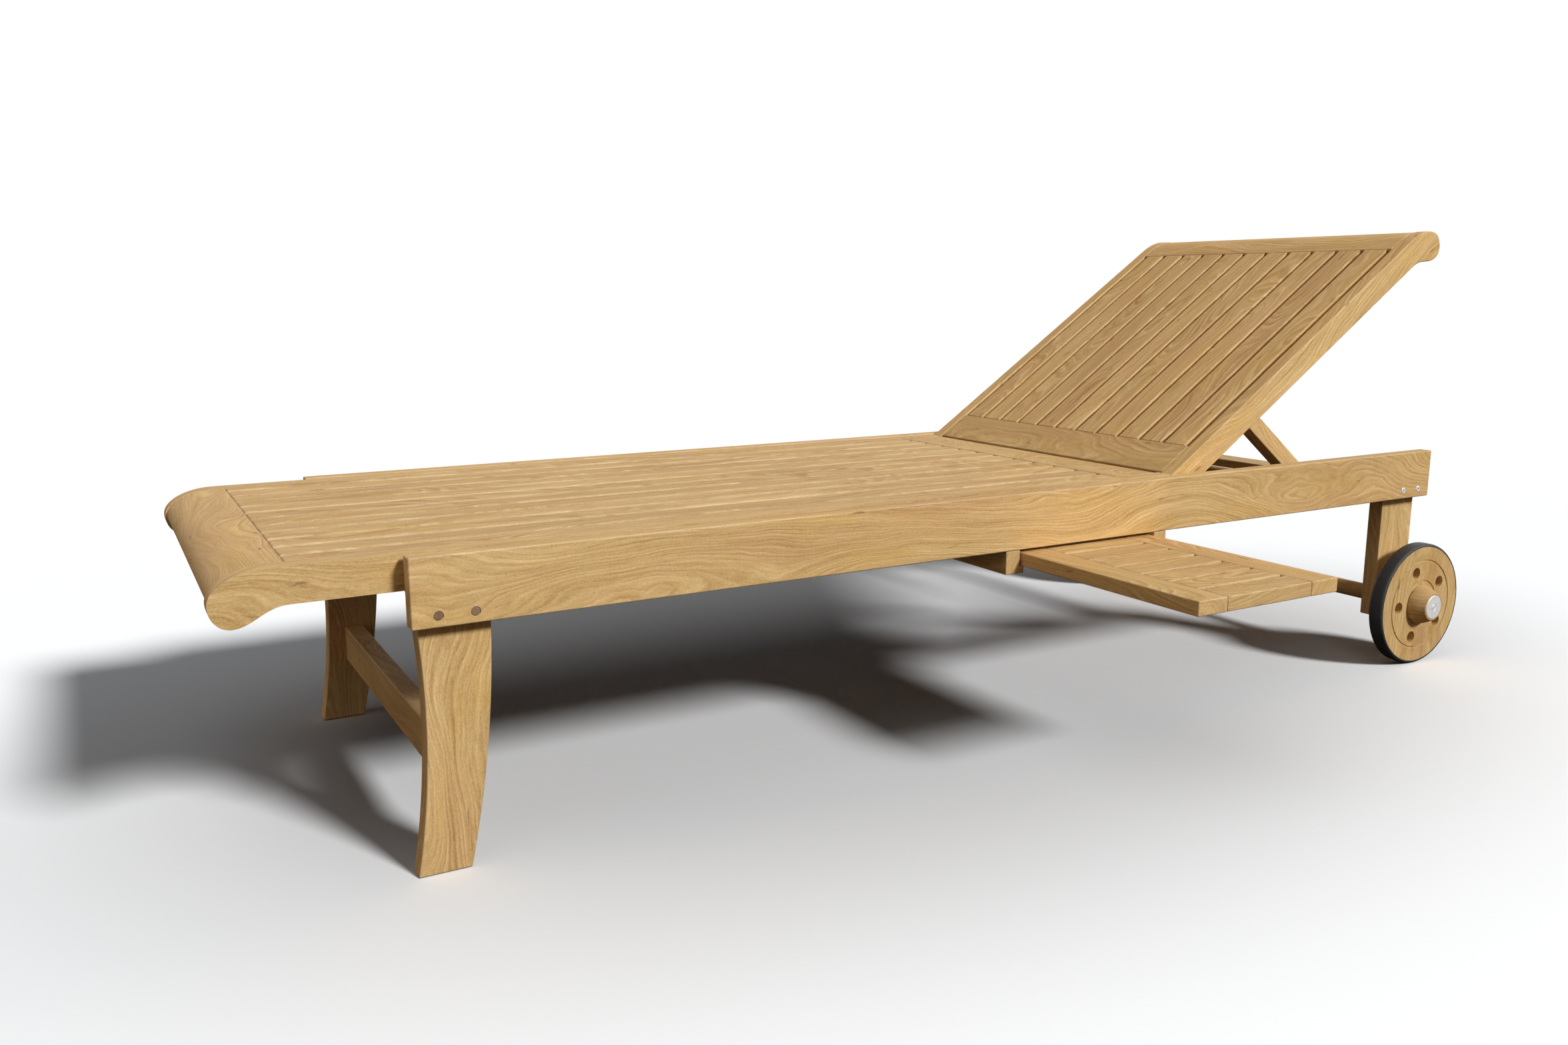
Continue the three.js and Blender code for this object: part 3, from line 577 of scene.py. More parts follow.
def arc(centre: Point, radii: Point, start: float, end: float, steps: int = 16) -> list[Point]:
    """Draws part of an ellipse.

    Args:
        centre: The ellipse's centre.
        radii: Its half widths.
        start: First angle in degrees.
        end: Last angle in degrees.
        steps: Number of chords.

    Returns:
        The points, both ends among them.
    """
    angles = [math.radians(start + (end - start) * k / steps) for k in range(steps + 1)]
    (x, z), (wide, high) = centre, radii
    return [(x + wide * math.cos(t), z + high * math.sin(t)) for t in angles]


def curve(points: list[Point], steps: int = 20) -> list[Point]:
    """Draws a Bezier curve of any order.

    Args:
        points: The control points.
        steps: Number of chords.

    Returns:
        The points, without the first one.
    """
    drawn = []
    for k in range(1, steps + 1):
        level = [Vector(p) for p in points]
        while len(level) > 1:
            level = [a.lerp(b, k / steps) for a, b in zip(level, level[1:])]
        drawn.append(tuple(level[0]))
    return drawn


def room(node: str) -> tuple[Vector, Vector]:
    """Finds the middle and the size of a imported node's box."""
    low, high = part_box(node)
    return (low + high) / 2, high - low


def placed(at: Vector | Triple, degrees: float = 0.0, axis: Axis = Axis.Z) -> Matrix:
    """Makes a frame at a place, turned about one axis."""
    return Matrix.Translation(at) @ Matrix.Rotation(math.radians(degrees), 4, axis.value)


def bore(piece: Piece, drills: list[tuple[Mesh, Matrix]]) -> None:
    """Cuts tools' shapes out of a piece, after the piece's own modifiers.

    Args:
        piece: The piece.
        drills: Each tool's mesh and where it stands.
    """
    tools = []
    for drill, place in drills:
        tool = bpy.data.objects.new("drill", drill)
        bpy.context.scene.collection.objects.link(tool)
        tool.matrix_world = place
        cutter = piece.modifiers.new("hole", "BOOLEAN")
        cutter.object = tool
        cutter.solver = "EXACT"
        tools.append(tool)
    bpy.context.view_layer.update()
    seen = piece.evaluated_get(bpy.context.evaluated_depsgraph_get())
    mesh = bpy.data.meshes.new_from_object(seen)
    mesh.name = piece.name
    piece.modifiers.clear()
    piece.data = mesh
    for tool in tools:
        bpy.data.objects.remove(tool)


# ---- workshop


@dataclass(frozen=True)
class Wood:
    """How a wooden piece is sawn and finished.

    Attributes:
        cut: How the board was sawn.
        ease: Radius of its eased edges.
        tone: Brightness of the wood; on several pieces its value also paints in light or shade that
            the lamps don't give them.
        figure: How much the rings wander.
        vigour: How strongly the rings show.
        toward: Direction across the grain from the board to its heart.
    """

    cut: Cut = Cut.FLAT
    ease: float = 0.0017
    tone: float = 1.0
    figure: float = 1.0
    vigour: float = 1.0
    toward: Point = (0.0, -1.0)


@dataclass
class Workshop:
    """Turns meshes into dressed pieces that ride on the lounger's bodies."""

    finishes: Finishes
    pieces: bpy.types.Collection
    count: int = 0
    heart_sway: float = 6.0
    heart_reach: float = 40.0
    tone_swing: Point = (0.95, 1.04)
    ease_steps: int = 3
    ease_angle: float = 36.0
    flat_angle: float = 50.0
    dowel_edge: float = 0.0012
    dowel_faces: int = 48

    def wooden(self, name: str, body: str, mesh: Mesh, place: Matrix, wood: Wood = Wood(),
               stands_for: str | None = None) -> Piece:
        """Adds a wooden piece with eased edges.

        Args:
            name: The piece's name.
            body: The body that it rides on.
            mesh: Its mesh, with x along the grain.
            place: Where the mesh's frame stands.
            wood: How it is sawn and finished.
            stands_for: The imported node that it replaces.

        Returns:
            The piece.
        """
        chance = random.Random(name)
        near, far, turn = wood.cut.value
        sway = turn * chance.choice((-1, 1)) + chance.uniform(-self.heart_sway, self.heart_sway)
        angle = math.atan2(wood.toward[1], wood.toward[0]) + math.radians(sway)
        distance = chance.uniform(near, far)
        piece = self.add(name, body, mesh, place, WOOD_SLOT, self.finishes.board, stands_for)
        heart = (distance * math.cos(angle), distance * math.sin(angle))
        piece["heart"] = [chance.uniform(0, self.heart_reach), *heart]
        piece["tone"] = wood.tone * chance.uniform(*self.tone_swing)
        piece["figure"] = wood.figure
        piece["vigour"] = wood.vigour
        # slot 1 holds the paler edge wood, which paints a highlight on the eased edges
        mesh.materials.append(self.finishes.edge)
        if wood.ease > 0:
            bevel = piece.modifiers.new("eased_edges", "BEVEL")
            bevel.width = wood.ease
            bevel.segments = self.ease_steps
            bevel.limit_method = "ANGLE"
            bevel.angle_limit = math.radians(self.ease_angle)
            bevel.harden_normals = True
            bevel.material = 1
        return piece

    def add(self, name: str, body: str, mesh: Mesh, place: Matrix, slot: str, material: Material,
            stands_for: str | None = None) -> Piece:
        """Adds a piece to the scene.

        Args:
            name: The piece's name.
            body: The body that it rides on.
            mesh: Its mesh.
            place: Where the mesh's frame stands.
            slot: The record's material slot.
            material: Its material.
            stands_for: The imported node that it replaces.

        Returns:
            The piece.
        """
        mesh.name = name
        mesh.materials.append(material)
        piece = bpy.data.objects.new(name, mesh)
        bpy.context.scene.collection.objects.link(piece)
        self.pieces.objects.link(piece)
        piece.matrix_world = place
        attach(piece, body)
        if stands_for:
            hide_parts(stands_for)
        self.count += 1
        log.info("%s on %s, %d vertices", name, body, len(mesh.vertices))
        return piece

    def eased(self, node: str, body: str, mesh: Mesh, place: Matrix, wood: Wood = Wood()) -> Piece:
        """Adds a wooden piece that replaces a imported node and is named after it."""
        return self.wooden(node + "_eased", body, mesh, place, wood, node)

    def board(self, node: str, body: str, grain: Axis, wood: Wood = Wood()) -> Piece:
        """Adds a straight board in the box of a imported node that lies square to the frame.

        Args:
            node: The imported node.
            body: The body that it rides on.
            grain: The frame's axis along the grain.
            wood: How it is sawn and finished.

        Returns:
            The piece.
        """
        centre, size = room(node)
        x, y, z = size
        lie, shape = {
            Axis.X: (placed(centre), (x, y, z)),
            Axis.Y: (placed(centre, 90), (y, x, z)),
            Axis.Z: (placed(centre, -90, Axis.Y), (z, y, x)),
        }[grain]
        return self.eased(node, body, block(shape), lie, wood)

    def steel(self, name: str, body: str, profile: list[Point], place: Matrix, segments: int,
              stands_for: str | None = None) -> None:
        """Adds a turned steel piece.

        Args:
            name: The piece's name.
            body: The body that it rides on.
            profile: Its profile about x.
            place: Where its frame stands.
            segments: Faces around it.
            stands_for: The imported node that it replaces.
        """
        mesh = turned(profile, Axis.X, segments)
        self.add(name, body, mesh, place, STEEL_SLOT, self.finishes.steel, stands_for)

    def dowel(self, node: str, body: str, metal: bool = False) -> None:
        """Adds a plain round bar along Y in the place of a packed one.

        Args:
            node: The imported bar.
            body: The body that it rides on.
            metal: True for a steel bar.
        """
        centre, size = room(node)
        half, radius = size.y / 2, size.z / 2
        edge = min(self.dowel_edge, radius / 4)
        rims = [(radius - edge, -half), (radius, edge - half), (radius, half - edge)]
        profile = [(0.0, -half), *rims, (radius - edge, half), (0.0, half)]
        name, place = node + "_turned", placed(centre, 90)
        if metal:
            self.steel(name, body, profile, place, self.dowel_faces, node)
        else:
            mesh = turned(profile, Axis.X, self.dowel_faces)
            self.wooden(name, body, mesh, place, Wood(Cut.RIFT, ease=0.0), node)

    def settle(self, piece: Piece) -> None:
        """Keeps a bored piece's broad faces flat in the light."""
        piece.data.set_sharp_from_angle(angle=math.radians(self.flat_angle))
        flatten = piece.modifiers.new("flat_faces", "WEIGHTED_NORMAL")
        flatten.keep_sharp = True


# ---- sub-assemblies


@dataclass
class Assembly:
    """A sub-assembly, which is built in a workshop."""

    shop: Workshop


@dataclass
class SideFrame(Assembly):
    """The two side rails with the plugs and screws that show on them."""

    plug_radius: float = 0.005
    plug_depth: float = 0.0005
    plug_rim: float = 0.0008
    plug_slope: float = 0.3
    plug_fit: float = 0.0002
    plug_faces: int = 48
    dimple: Point = (0.0011, 0.0004)
    screw_height: float = 0.287
    screw_stations: Point = (1.575, 1.6125)
    screw_faces: int = 40
    screw_profile: tuple[Point, ...] = (
        (0.0, -0.001), (0.0049, -0.001), (0.0049, 0.0002), (0.0043, 0.0007),
        (0.0019, 0.0007), (0.0016, 0.0003), (0.0, 0.0003),
    )
    socket: Triple = (0.00155, -0.0004, 0.00045)
    socket_faces: int = 6

    def build(self) -> None:
        """Builds both sides."""
        for side in Side:
            node = f"side_rail_{side}"
            wood = Wood(Cut.RIFT, ease=0.002, figure=1.1, toward=(-side.value, 0.0))
            rail = self.shop.board(node, "base", Axis.X, wood)
            bore(rail, [self.plug(f"leg_plug_{side}_{k}", side) for k in (1, 2)])
            self.shop.settle(rail)
            low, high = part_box(node)
            face = low.y if side is Side.LEFT else high.y
            for k, station in enumerate(self.screw_stations, 1):
                place = placed((low.x + station, face, self.screw_height), 90 * side.value)
                self.screw(f"head_leg_screw_{side}_{k}", place)

    def plug(self, node: str, side: Side) -> tuple[Mesh, Matrix]:
        """Sets a plug just below the rail's face.

        Args:
            node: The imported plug.
            side: The rail's side.

        Returns:
            The drill for its hole, and where the drill stands.
        """
        centre, size = room(node)
        radius, rim, slope, base = self.plug_radius, self.plug_rim, self.plug_slope, -size.y / 2
        face = -base - self.plug_depth
        profile = [
            (0.0, base), (radius, base), (radius, face - rim),
            (radius - rim * slope, face - rim * slope), (radius - rim, face),
            (self.dimple[0], face), (0.0, face - self.dimple[1]),
        ]
        place = placed(centre, 90 * side.value)
        mesh = turned(profile, Axis.X, self.plug_faces)
        piece = self.shop.wooden(node + "_turned", "base", mesh, place, Wood(ease=0.0), node)
        piece.data.materials[0] = self.shop.finishes.plug
        drill = rod(radius + self.plug_fit, base - FIT, size.y)
        return turned(drill, Axis.X, self.plug_faces), place

    def screw(self, name: str, place: Matrix) -> None:
        """Adds a countersunk screw head with a dark hexagon in its shallow hollow: painted shade
        for the socket.

        Args:
            name: The screw's name.
            place: The frame at the middle of its face.
        """
        self.shop.steel(name, "base", self.screw_profile, place, self.screw_faces)
        # a dark hexagon set in the head's shallow hollow: painted shade for the socket
        core = turned(rod(*self.socket), Axis.X, self.socket_faces)
        self.shop.add(name + "_socket", "base", core, place, STEEL_SLOT, self.shop.finishes.socket)


@dataclass
class FootLegs(Assembly):
    """Two curved legs at the foot end and the stretcher between them.

    Places are (front edge, back edge) along X from the rails' ends.
    """

    sole: Point = (-0.0025, 0.0545)
    top: Point = (0.0045, 0.0865)
    bow: Point = (0.0265, 0.09)
    wood: Wood = Wood(ease=0.0018, figure=1.1, toward=(1.0, 0.3))

    def build(self) -> None:
        """Builds the legs and the stretcher."""
        for side in Side:
            node = f"foot_leg_{side}"
            centre, size = room(node)
            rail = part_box(f"side_rail_{side}")[0].x
            height = size.z
            edges = zip(self.sole, self.bow, self.top)
            front, back = (((a, 0.0), (b, height / 2), (c, height)) for a, b, c in edges)
            profile = [front[0], *curve(front), back[2], *curve(back[::-1])]
            outline = [(z, -x) for x, z in profile]
            place = placed((rail, centre.y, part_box(node)[0].z), -90, Axis.Y)
            self.shop.eased(node, "base", prism(outline, size.y), place, self.wood)
        self.shop.board("foot_leg_stretcher", "base", Axis.Y, Wood(tone=0.98))


@dataclass
class HeadEnd(Assembly):
    """Head legs, cross rails and the racks for the prop."""

    # tone above 1: painted highlight on the head legs' key-lit faces
    leg: Wood = Wood(Cut.RIFT, ease=0.0018, tone=1.03)
    rail: Wood = Wood(tone=0.97)
    toothed: Wood = Wood(ease=0.0008)
    least_rise: float = 1e-4

    def build(self) -> None:
        """Builds the pieces."""
        for side in Side:
            self.shop.board(f"head_leg_{side}", "base", Axis.Z, self.leg)
            self.rack(f"prop_rack_{side}")
        for node in ("head_cross_rail", "seat_cross_beam"):
            self.shop.board(node, "base", Axis.Y, self.rail)

    def rack(self, node: str) -> None:
        """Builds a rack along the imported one's own teeth.

        Args:
            node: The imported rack.
        """
        low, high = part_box(node)
        centre, size = room(node)
        packed = frame["nodes"][node].data
        face = {(round(v.co.x, 6), round(v.co.z, 6)) for v in packed.vertices}
        teeth = sorted(p for p in face if p[1] > low.z + self.least_rise)
        corners = [(low.x, low.z), *teeth, (high.x, low.z)]
        outline = [(x - centre.x, z - centre.z) for x, z in corners]
        self.shop.eased(node, "base", prism(outline, size.y), placed(centre), self.toothed)


@dataclass
class Panel(Assembly):
    """A slatted panel between two scrolled boards: the sizes that seat and back share.

    Places are (u, w): u from the back's pivot towards the scroll, w up from the boards' middle.
    """

    board_depth: float = 0.0385
    board_thickness: float = 0.022
    nose_length: float = 0.061
    nose_drop: float = 0.0325
    lobe_length: float = 0.0205
    lobe_drop: float = 0.0245
    throat_length: float = 0.054
    throat_pull: Point = (0.36, 0.46)
    nosing_inset: float = 0.0025
    nosing_drop: float = 0.012
    rail_depth: float = 0.022
    slat_thickness: float = 0.012
    nose_steps: int = 26
    end_steps: int = 24
    scroll_steps: tuple[int, int] = (22, 22)
    nosing_steps: tuple[int, int] = (14, 16)

    @property
    def top(self) -> float:
        """Height of the panel's face above the middle line."""
        return self.board_depth / 2

    def curl(self, tip: float, inset: float, drop: float, end: Point, pull: Point,
             steps: tuple[int, int]) -> list[Point]:
        """Draws a scroll from the panel's face over its nose and lobe to the underside.

        Args:
            tip: Place of the scroll's tip.
            inset: How far the curl stays behind the tip.
            drop: The lobe's drop.
            end: Where the underside starts.
            pull: Lengths of the underside's two handles.
            steps: Number of chords in the lobe and in the underside.

        Returns:
            The points.
        """
        lobe = (tip - self.lobe_length, self.top - self.nose_drop)
        foot = (lobe[0], lobe[1] - drop)
        radii = (self.nose_length - inset, self.nose_drop)
        nose = arc((tip - self.nose_length, lobe[1]), radii, 90, 0, self.nose_steps)
        rounding = arc(lobe, (self.lobe_length - inset, drop), 0, -90, steps[0])
        handles = [(foot[0] - pull[0], foot[1]), (end[0] + pull[1], end[1])]
        return [*nose, *rounding[1:], *curve([foot, *handles, end], steps[1])]

    def scroll(self, tip: float) -> list[Point]:
        """Outlines a side board's scroll, whose tip is given, from its face to its underside."""
        throat = tip - self.lobe_length - self.throat_length
        end, pull = (throat, -self.top), [self.throat_length * part for part in self.throat_pull]
        return self.curl(tip, 0.0, self.lobe_drop, end, pull, self.scroll_steps)

    def nosing(self, tip: float, width: float) -> list[Point]:
        """Outlines an end rail that follows the scroll.

        Args:
            tip: Place of the scroll's tip.
            width: From the tip to the rail's inner edge.

        Returns:
            The outline.
        """
        edge = tip - width
        end = (edge, self.top - self.rail_depth)
        pull = (self.lobe_length, self.lobe_length)
        steps = self.nosing_steps
        curl = self.curl(tip, self.nosing_inset, self.nosing_drop, end, pull, steps)
        return [(edge, self.top), *curl]


@dataclass
class Seat(Panel):
    """The fixed seat panel, which runs from the back's pivot towards the foot end."""

    slat_count: int = 12
    cope_gap: float = 0.001
    steepest: float = 60.0
    nose: Wood = Wood(figure=1.3, ease=0.0012, tone=1.07, toward=(0.1, -1.0))

    def cope(self) -> list[Point]:
        """Outlines the hollow end that a stile of the back turns in.

        Returns:
            The hollow's points, and last the corner where the end meets the top edge.
        """
        cope = self.top + self.cope_gap
        lowest = math.degrees(math.asin(self.top / cope))
        hollow = arc((0.0, 0.0), (cope, cope), -lowest, 90 - self.steepest, self.end_steps)
        rise = self.top - hollow[-1][1]
        run = rise / math.tan(math.radians(self.steepest))
        return [*hollow, (hollow[-1][0] - run, self.top)]

    def build(self, pivot: Vector) -> None:
        """Builds the seat.

        Args:
            pivot: The back's pivot.
        """
        panel = placed(pivot, 180)
        tip = pivot.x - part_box("seat_side_board_left")[0].x
        *hollow, corner = self.cope()
        outline = [corner, *self.scroll(tip), *hollow]
        for side in Side:
            node = f"seat_side_board_{side}"
            place = panel @ placed((0, pivot.y - room(node)[0].y, 0))
            wood = Wood(Cut.RIFT, ease=0.002, figure=0.8, toward=(side.value, 0.0))
            self.shop.eased(node, "base", prism(outline, self.board_thickness), place, wood)
        low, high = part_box("seat_foot_rail")
        nosing = crosswise(self.nosing(tip, tip - (pivot.x - high.x)), high.y - low.y)
        self.shop.eased("seat_foot_rail", "base", nosing, panel @ ACROSS, self.nose)
        self.shop.board("seat_head_rail", "base", Axis.Y, Wood(figure=1.3))
        for k in range(1, self.slat_count + 1):
            cut = (Cut.FLAT, Cut.FLAT, Cut.RIFT)[k % 3]
            # tone below 1: painted shade on the slats' tops, which the lamps light too strongly
            wood = Wood(cut, ease=0.004, tone=0.965, figure=0.7, vigour=1.3)
            self.shop.board(f"seat_slat_{k:02d}", "base", Axis.X, wood)
        for end in End:
            self.shop.board(f"seat_batten_{end}", "base", Axis.Y, Wood(tone=0.96))


@dataclass
class Backrest(Panel):
    """The reclining back, with two stiles, end rails, slats and a batten."""

    length: float = 0.666
    top_rail_width: float = 0.082
    bottom_rail: Point = (0.006, 0.068)
    slat_count: int = 11
    slat_gap: float = 0.008
    batten: Point = (0.425, 0.465)
    batten_depth: float = 0.02
    nose: Wood = Wood(ease=0.0012, tone=1.10, toward=(0.1, -1.0))

    def build(self, panel: Matrix) -> None:
        """Builds the back.

        Args:
            panel: The back's frame, at its pivot.
        """
        left, right = (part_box(f"seat_side_board_{side}") for side in Side)
        inner = (right[0].y - left[1].y) / 2
        rounding = arc((0.0, 0.0), (self.top, self.top), 270, 90, self.end_steps)
        outline = [*self.scroll(self.length), *rounding]
        for side in Side:
            middle = side.value * (inner + self.board_thickness / 2)
            # tone above 1: painted light on the stiles, a lift for faces the lamps light too little
            wood = Wood(Cut.RIFT, ease=0.002, tone=1.10, toward=(side.value, 0.2))
            mesh, place = prism(outline, self.board_thickness), panel @ placed((0, middle, 0))
            self.shop.eased(f"back_stile_{side}", "backrest", mesh, place, wood)
        top, length = self.top, 2 * (inner - FIT)
        low, high = self.bottom_rail
        rail = rectangle((low, top - self.rail_depth), (high, top))
        nosing = self.nosing(self.length, self.top_rail_width)
        rails = {"back_top_rail": (nosing, self.nose), "back_bottom_rail": (rail, Wood(tone=0.97))}
        for node, (section, wood) in rails.items():
            self.shop.eased(node, "backrest", crosswise(section, length), panel @ ACROSS, wood)
        self.slats(panel, inner, (high + FIT, self.length - self.top_rail_width - FIT))
        under = top - self.slat_thickness - FIT
        low, high = self.batten
        mesh = crosswise(rectangle((low, under - self.batten_depth), (high, under)), length)
        self.shop.wooden("back_batten_eased", "backrest", mesh, panel @ ACROSS)

    def slats(self, panel: Matrix, inner: float, span: Point) -> None:
        """Builds the back's slats.

        Args:
            panel: The back's frame.
            inner: From the middle to the stiles' inner faces.
            span: The slats' ends along the panel.
        """
        gaps = (self.slat_count - 1) * self.slat_gap
        width = (2 * (inner - self.slat_gap) - gaps) / self.slat_count
        for k in range(self.slat_count):
            edge = self.slat_gap - inner + k * (width + self.slat_gap)
            centre = (sum(span) / 2, edge + width / 2, self.top - self.slat_thickness / 2)
            cut = (Cut.FLAT, Cut.RIFT, Cut.FLAT, Cut.QUARTER)[k % 4]
            # tone above 1: painted light on the back's slats, a lift for faces the lamps light too
            # little
            wood = Wood(cut, ease=0.0012, tone=1.08, vigour=1.4)
            mesh = block((span[1] - span[0], width, self.slat_thickness))
            node = None if k else "back_slat_panel"
            place = panel @ placed(centre)
            self.shop.wooden(f"back_slat_{k + 1:02d}", "backrest", mesh, place, wood, node)


@dataclass
class Prop(Assembly):
    """The swinging prop: two arms and a round foot bar."""

    length: float = 0.2116
    arm_width: float = 0.026
    slope: float = 37.5

    def build(self, pivot: Vector) -> None:
        """Builds the prop.

        Args:
            pivot: The prop's pivot.
        """
        swing = placed(pivot, self.slope, Axis.Y)
        radii = (self.arm_width / 2, self.arm_width / 2)
        foot = arc((self.length, 0.0), radii, 90, -90, 20)
        outline = [*arc((0.0, 0.0), radii, 270, 90, 20), *foot]
        for side in Side:
            node = f"prop_arm_{side}"
            centre, size = room(node)
            place = swing @ placed((0, centre.y - pivot.y, 0))
            # tone above 1: painted highlight on the arms' key-lit faces
            wood = Wood(Cut.RIFT, tone=1.16, toward=(side.value, 0.0))
            self.shop.eased(node, "prop", prism(outline, size.y), place, wood)
        self.shop.dowel("prop_foot_bar", "prop")


@dataclass
class Tray(Assembly):
    """The pull-out tray and the two runners that carry it."""

    slat_count: int = 13
    slat_width: float = 0.038
    cleat_width: float = 0.018
    cleat_setback: float = 0.028
    runner_width: float = 0.023
    lip_width: float = 0.03
    runner_ease: float = 0.0012

    def build(self) -> None:
        """Builds the tray and its runners."""
        for end in End:
            # tone above 1: painted highlight on the tray stiles' key-lit faces
            self.shop.board(f"tray_stile_{end}", "tray", Axis.Y, Wood(Cut.RIFT, tone=1.03))
        low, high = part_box("tray_slat_panel")
        centre, size = room("tray_slat_panel")
        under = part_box("tray_stile_foot")[0].z
        pitch = (size.y - self.slat_width) / (self.slat_count - 1)
        for k in range(self.slat_count):
            y = low.y + self.slat_width / 2 + k * pitch
            place = placed((centre.x, y, (under + high.z) / 2))
            mesh = block((size.x, self.slat_width, high.z - under))
            wood = Wood((Cut.FLAT, Cut.RIFT)[k % 2], vigour=1.3)
            node = None if k else "tray_slat_panel"
            self.shop.wooden(f"tray_slat_{k + 1:02d}", "tray", mesh, place, wood, node)
        for end in End:
            x = centre.x - end.value * (size.x - self.cleat_width) / 2
            length = size.y - 2 * self.cleat_setback
            mesh = block((length, self.cleat_width, under - low.z))
            place = placed((x, centre.y, (low.z + under) / 2), 90)
            self.shop.wooden(f"tray_cleat_{end}", "tray", mesh, place)
        for end in End:
            self.runner(end)

    def runner(self, end: End) -> None:
        """Builds an L-shaped runner with its keeper over the tray.

        Args:
            end: The runner's end of the tray.
        """
        node = f"tray_runner_{end}"
        low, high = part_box(node)
        centre, size = room(node)
        back = low.x if end is End.FOOT else high.x
        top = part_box("side_rail_left")[0].z - FIT
        place = placed((back, centre.y, top), 90)
        edge, lip = end.value * self.runner_width, end.value * self.lip_width
        down, shelf = low.z - top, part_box(f"tray_stile_{end}")[0].z - FIT - top
        section = [(0.0, 0.0), (0.0, down), (lip, down), (lip, shelf), (edge, shelf), (edge, 0.0)]
        wood = Wood(Cut.RIFT, ease=self.runner_ease)
        self.shop.eased(node, "base", crosswise(section, size.y), place, wood)
        keeper = rectangle((0.0, 0.0), (end.value * size.x, high.z - top))
        mesh = crosswise(keeper, room("seat_cross_beam")[1].y)
        self.shop.wooden(f"tray_keeper_{end}", "base", mesh, place, Wood(ease=self.runner_ease))


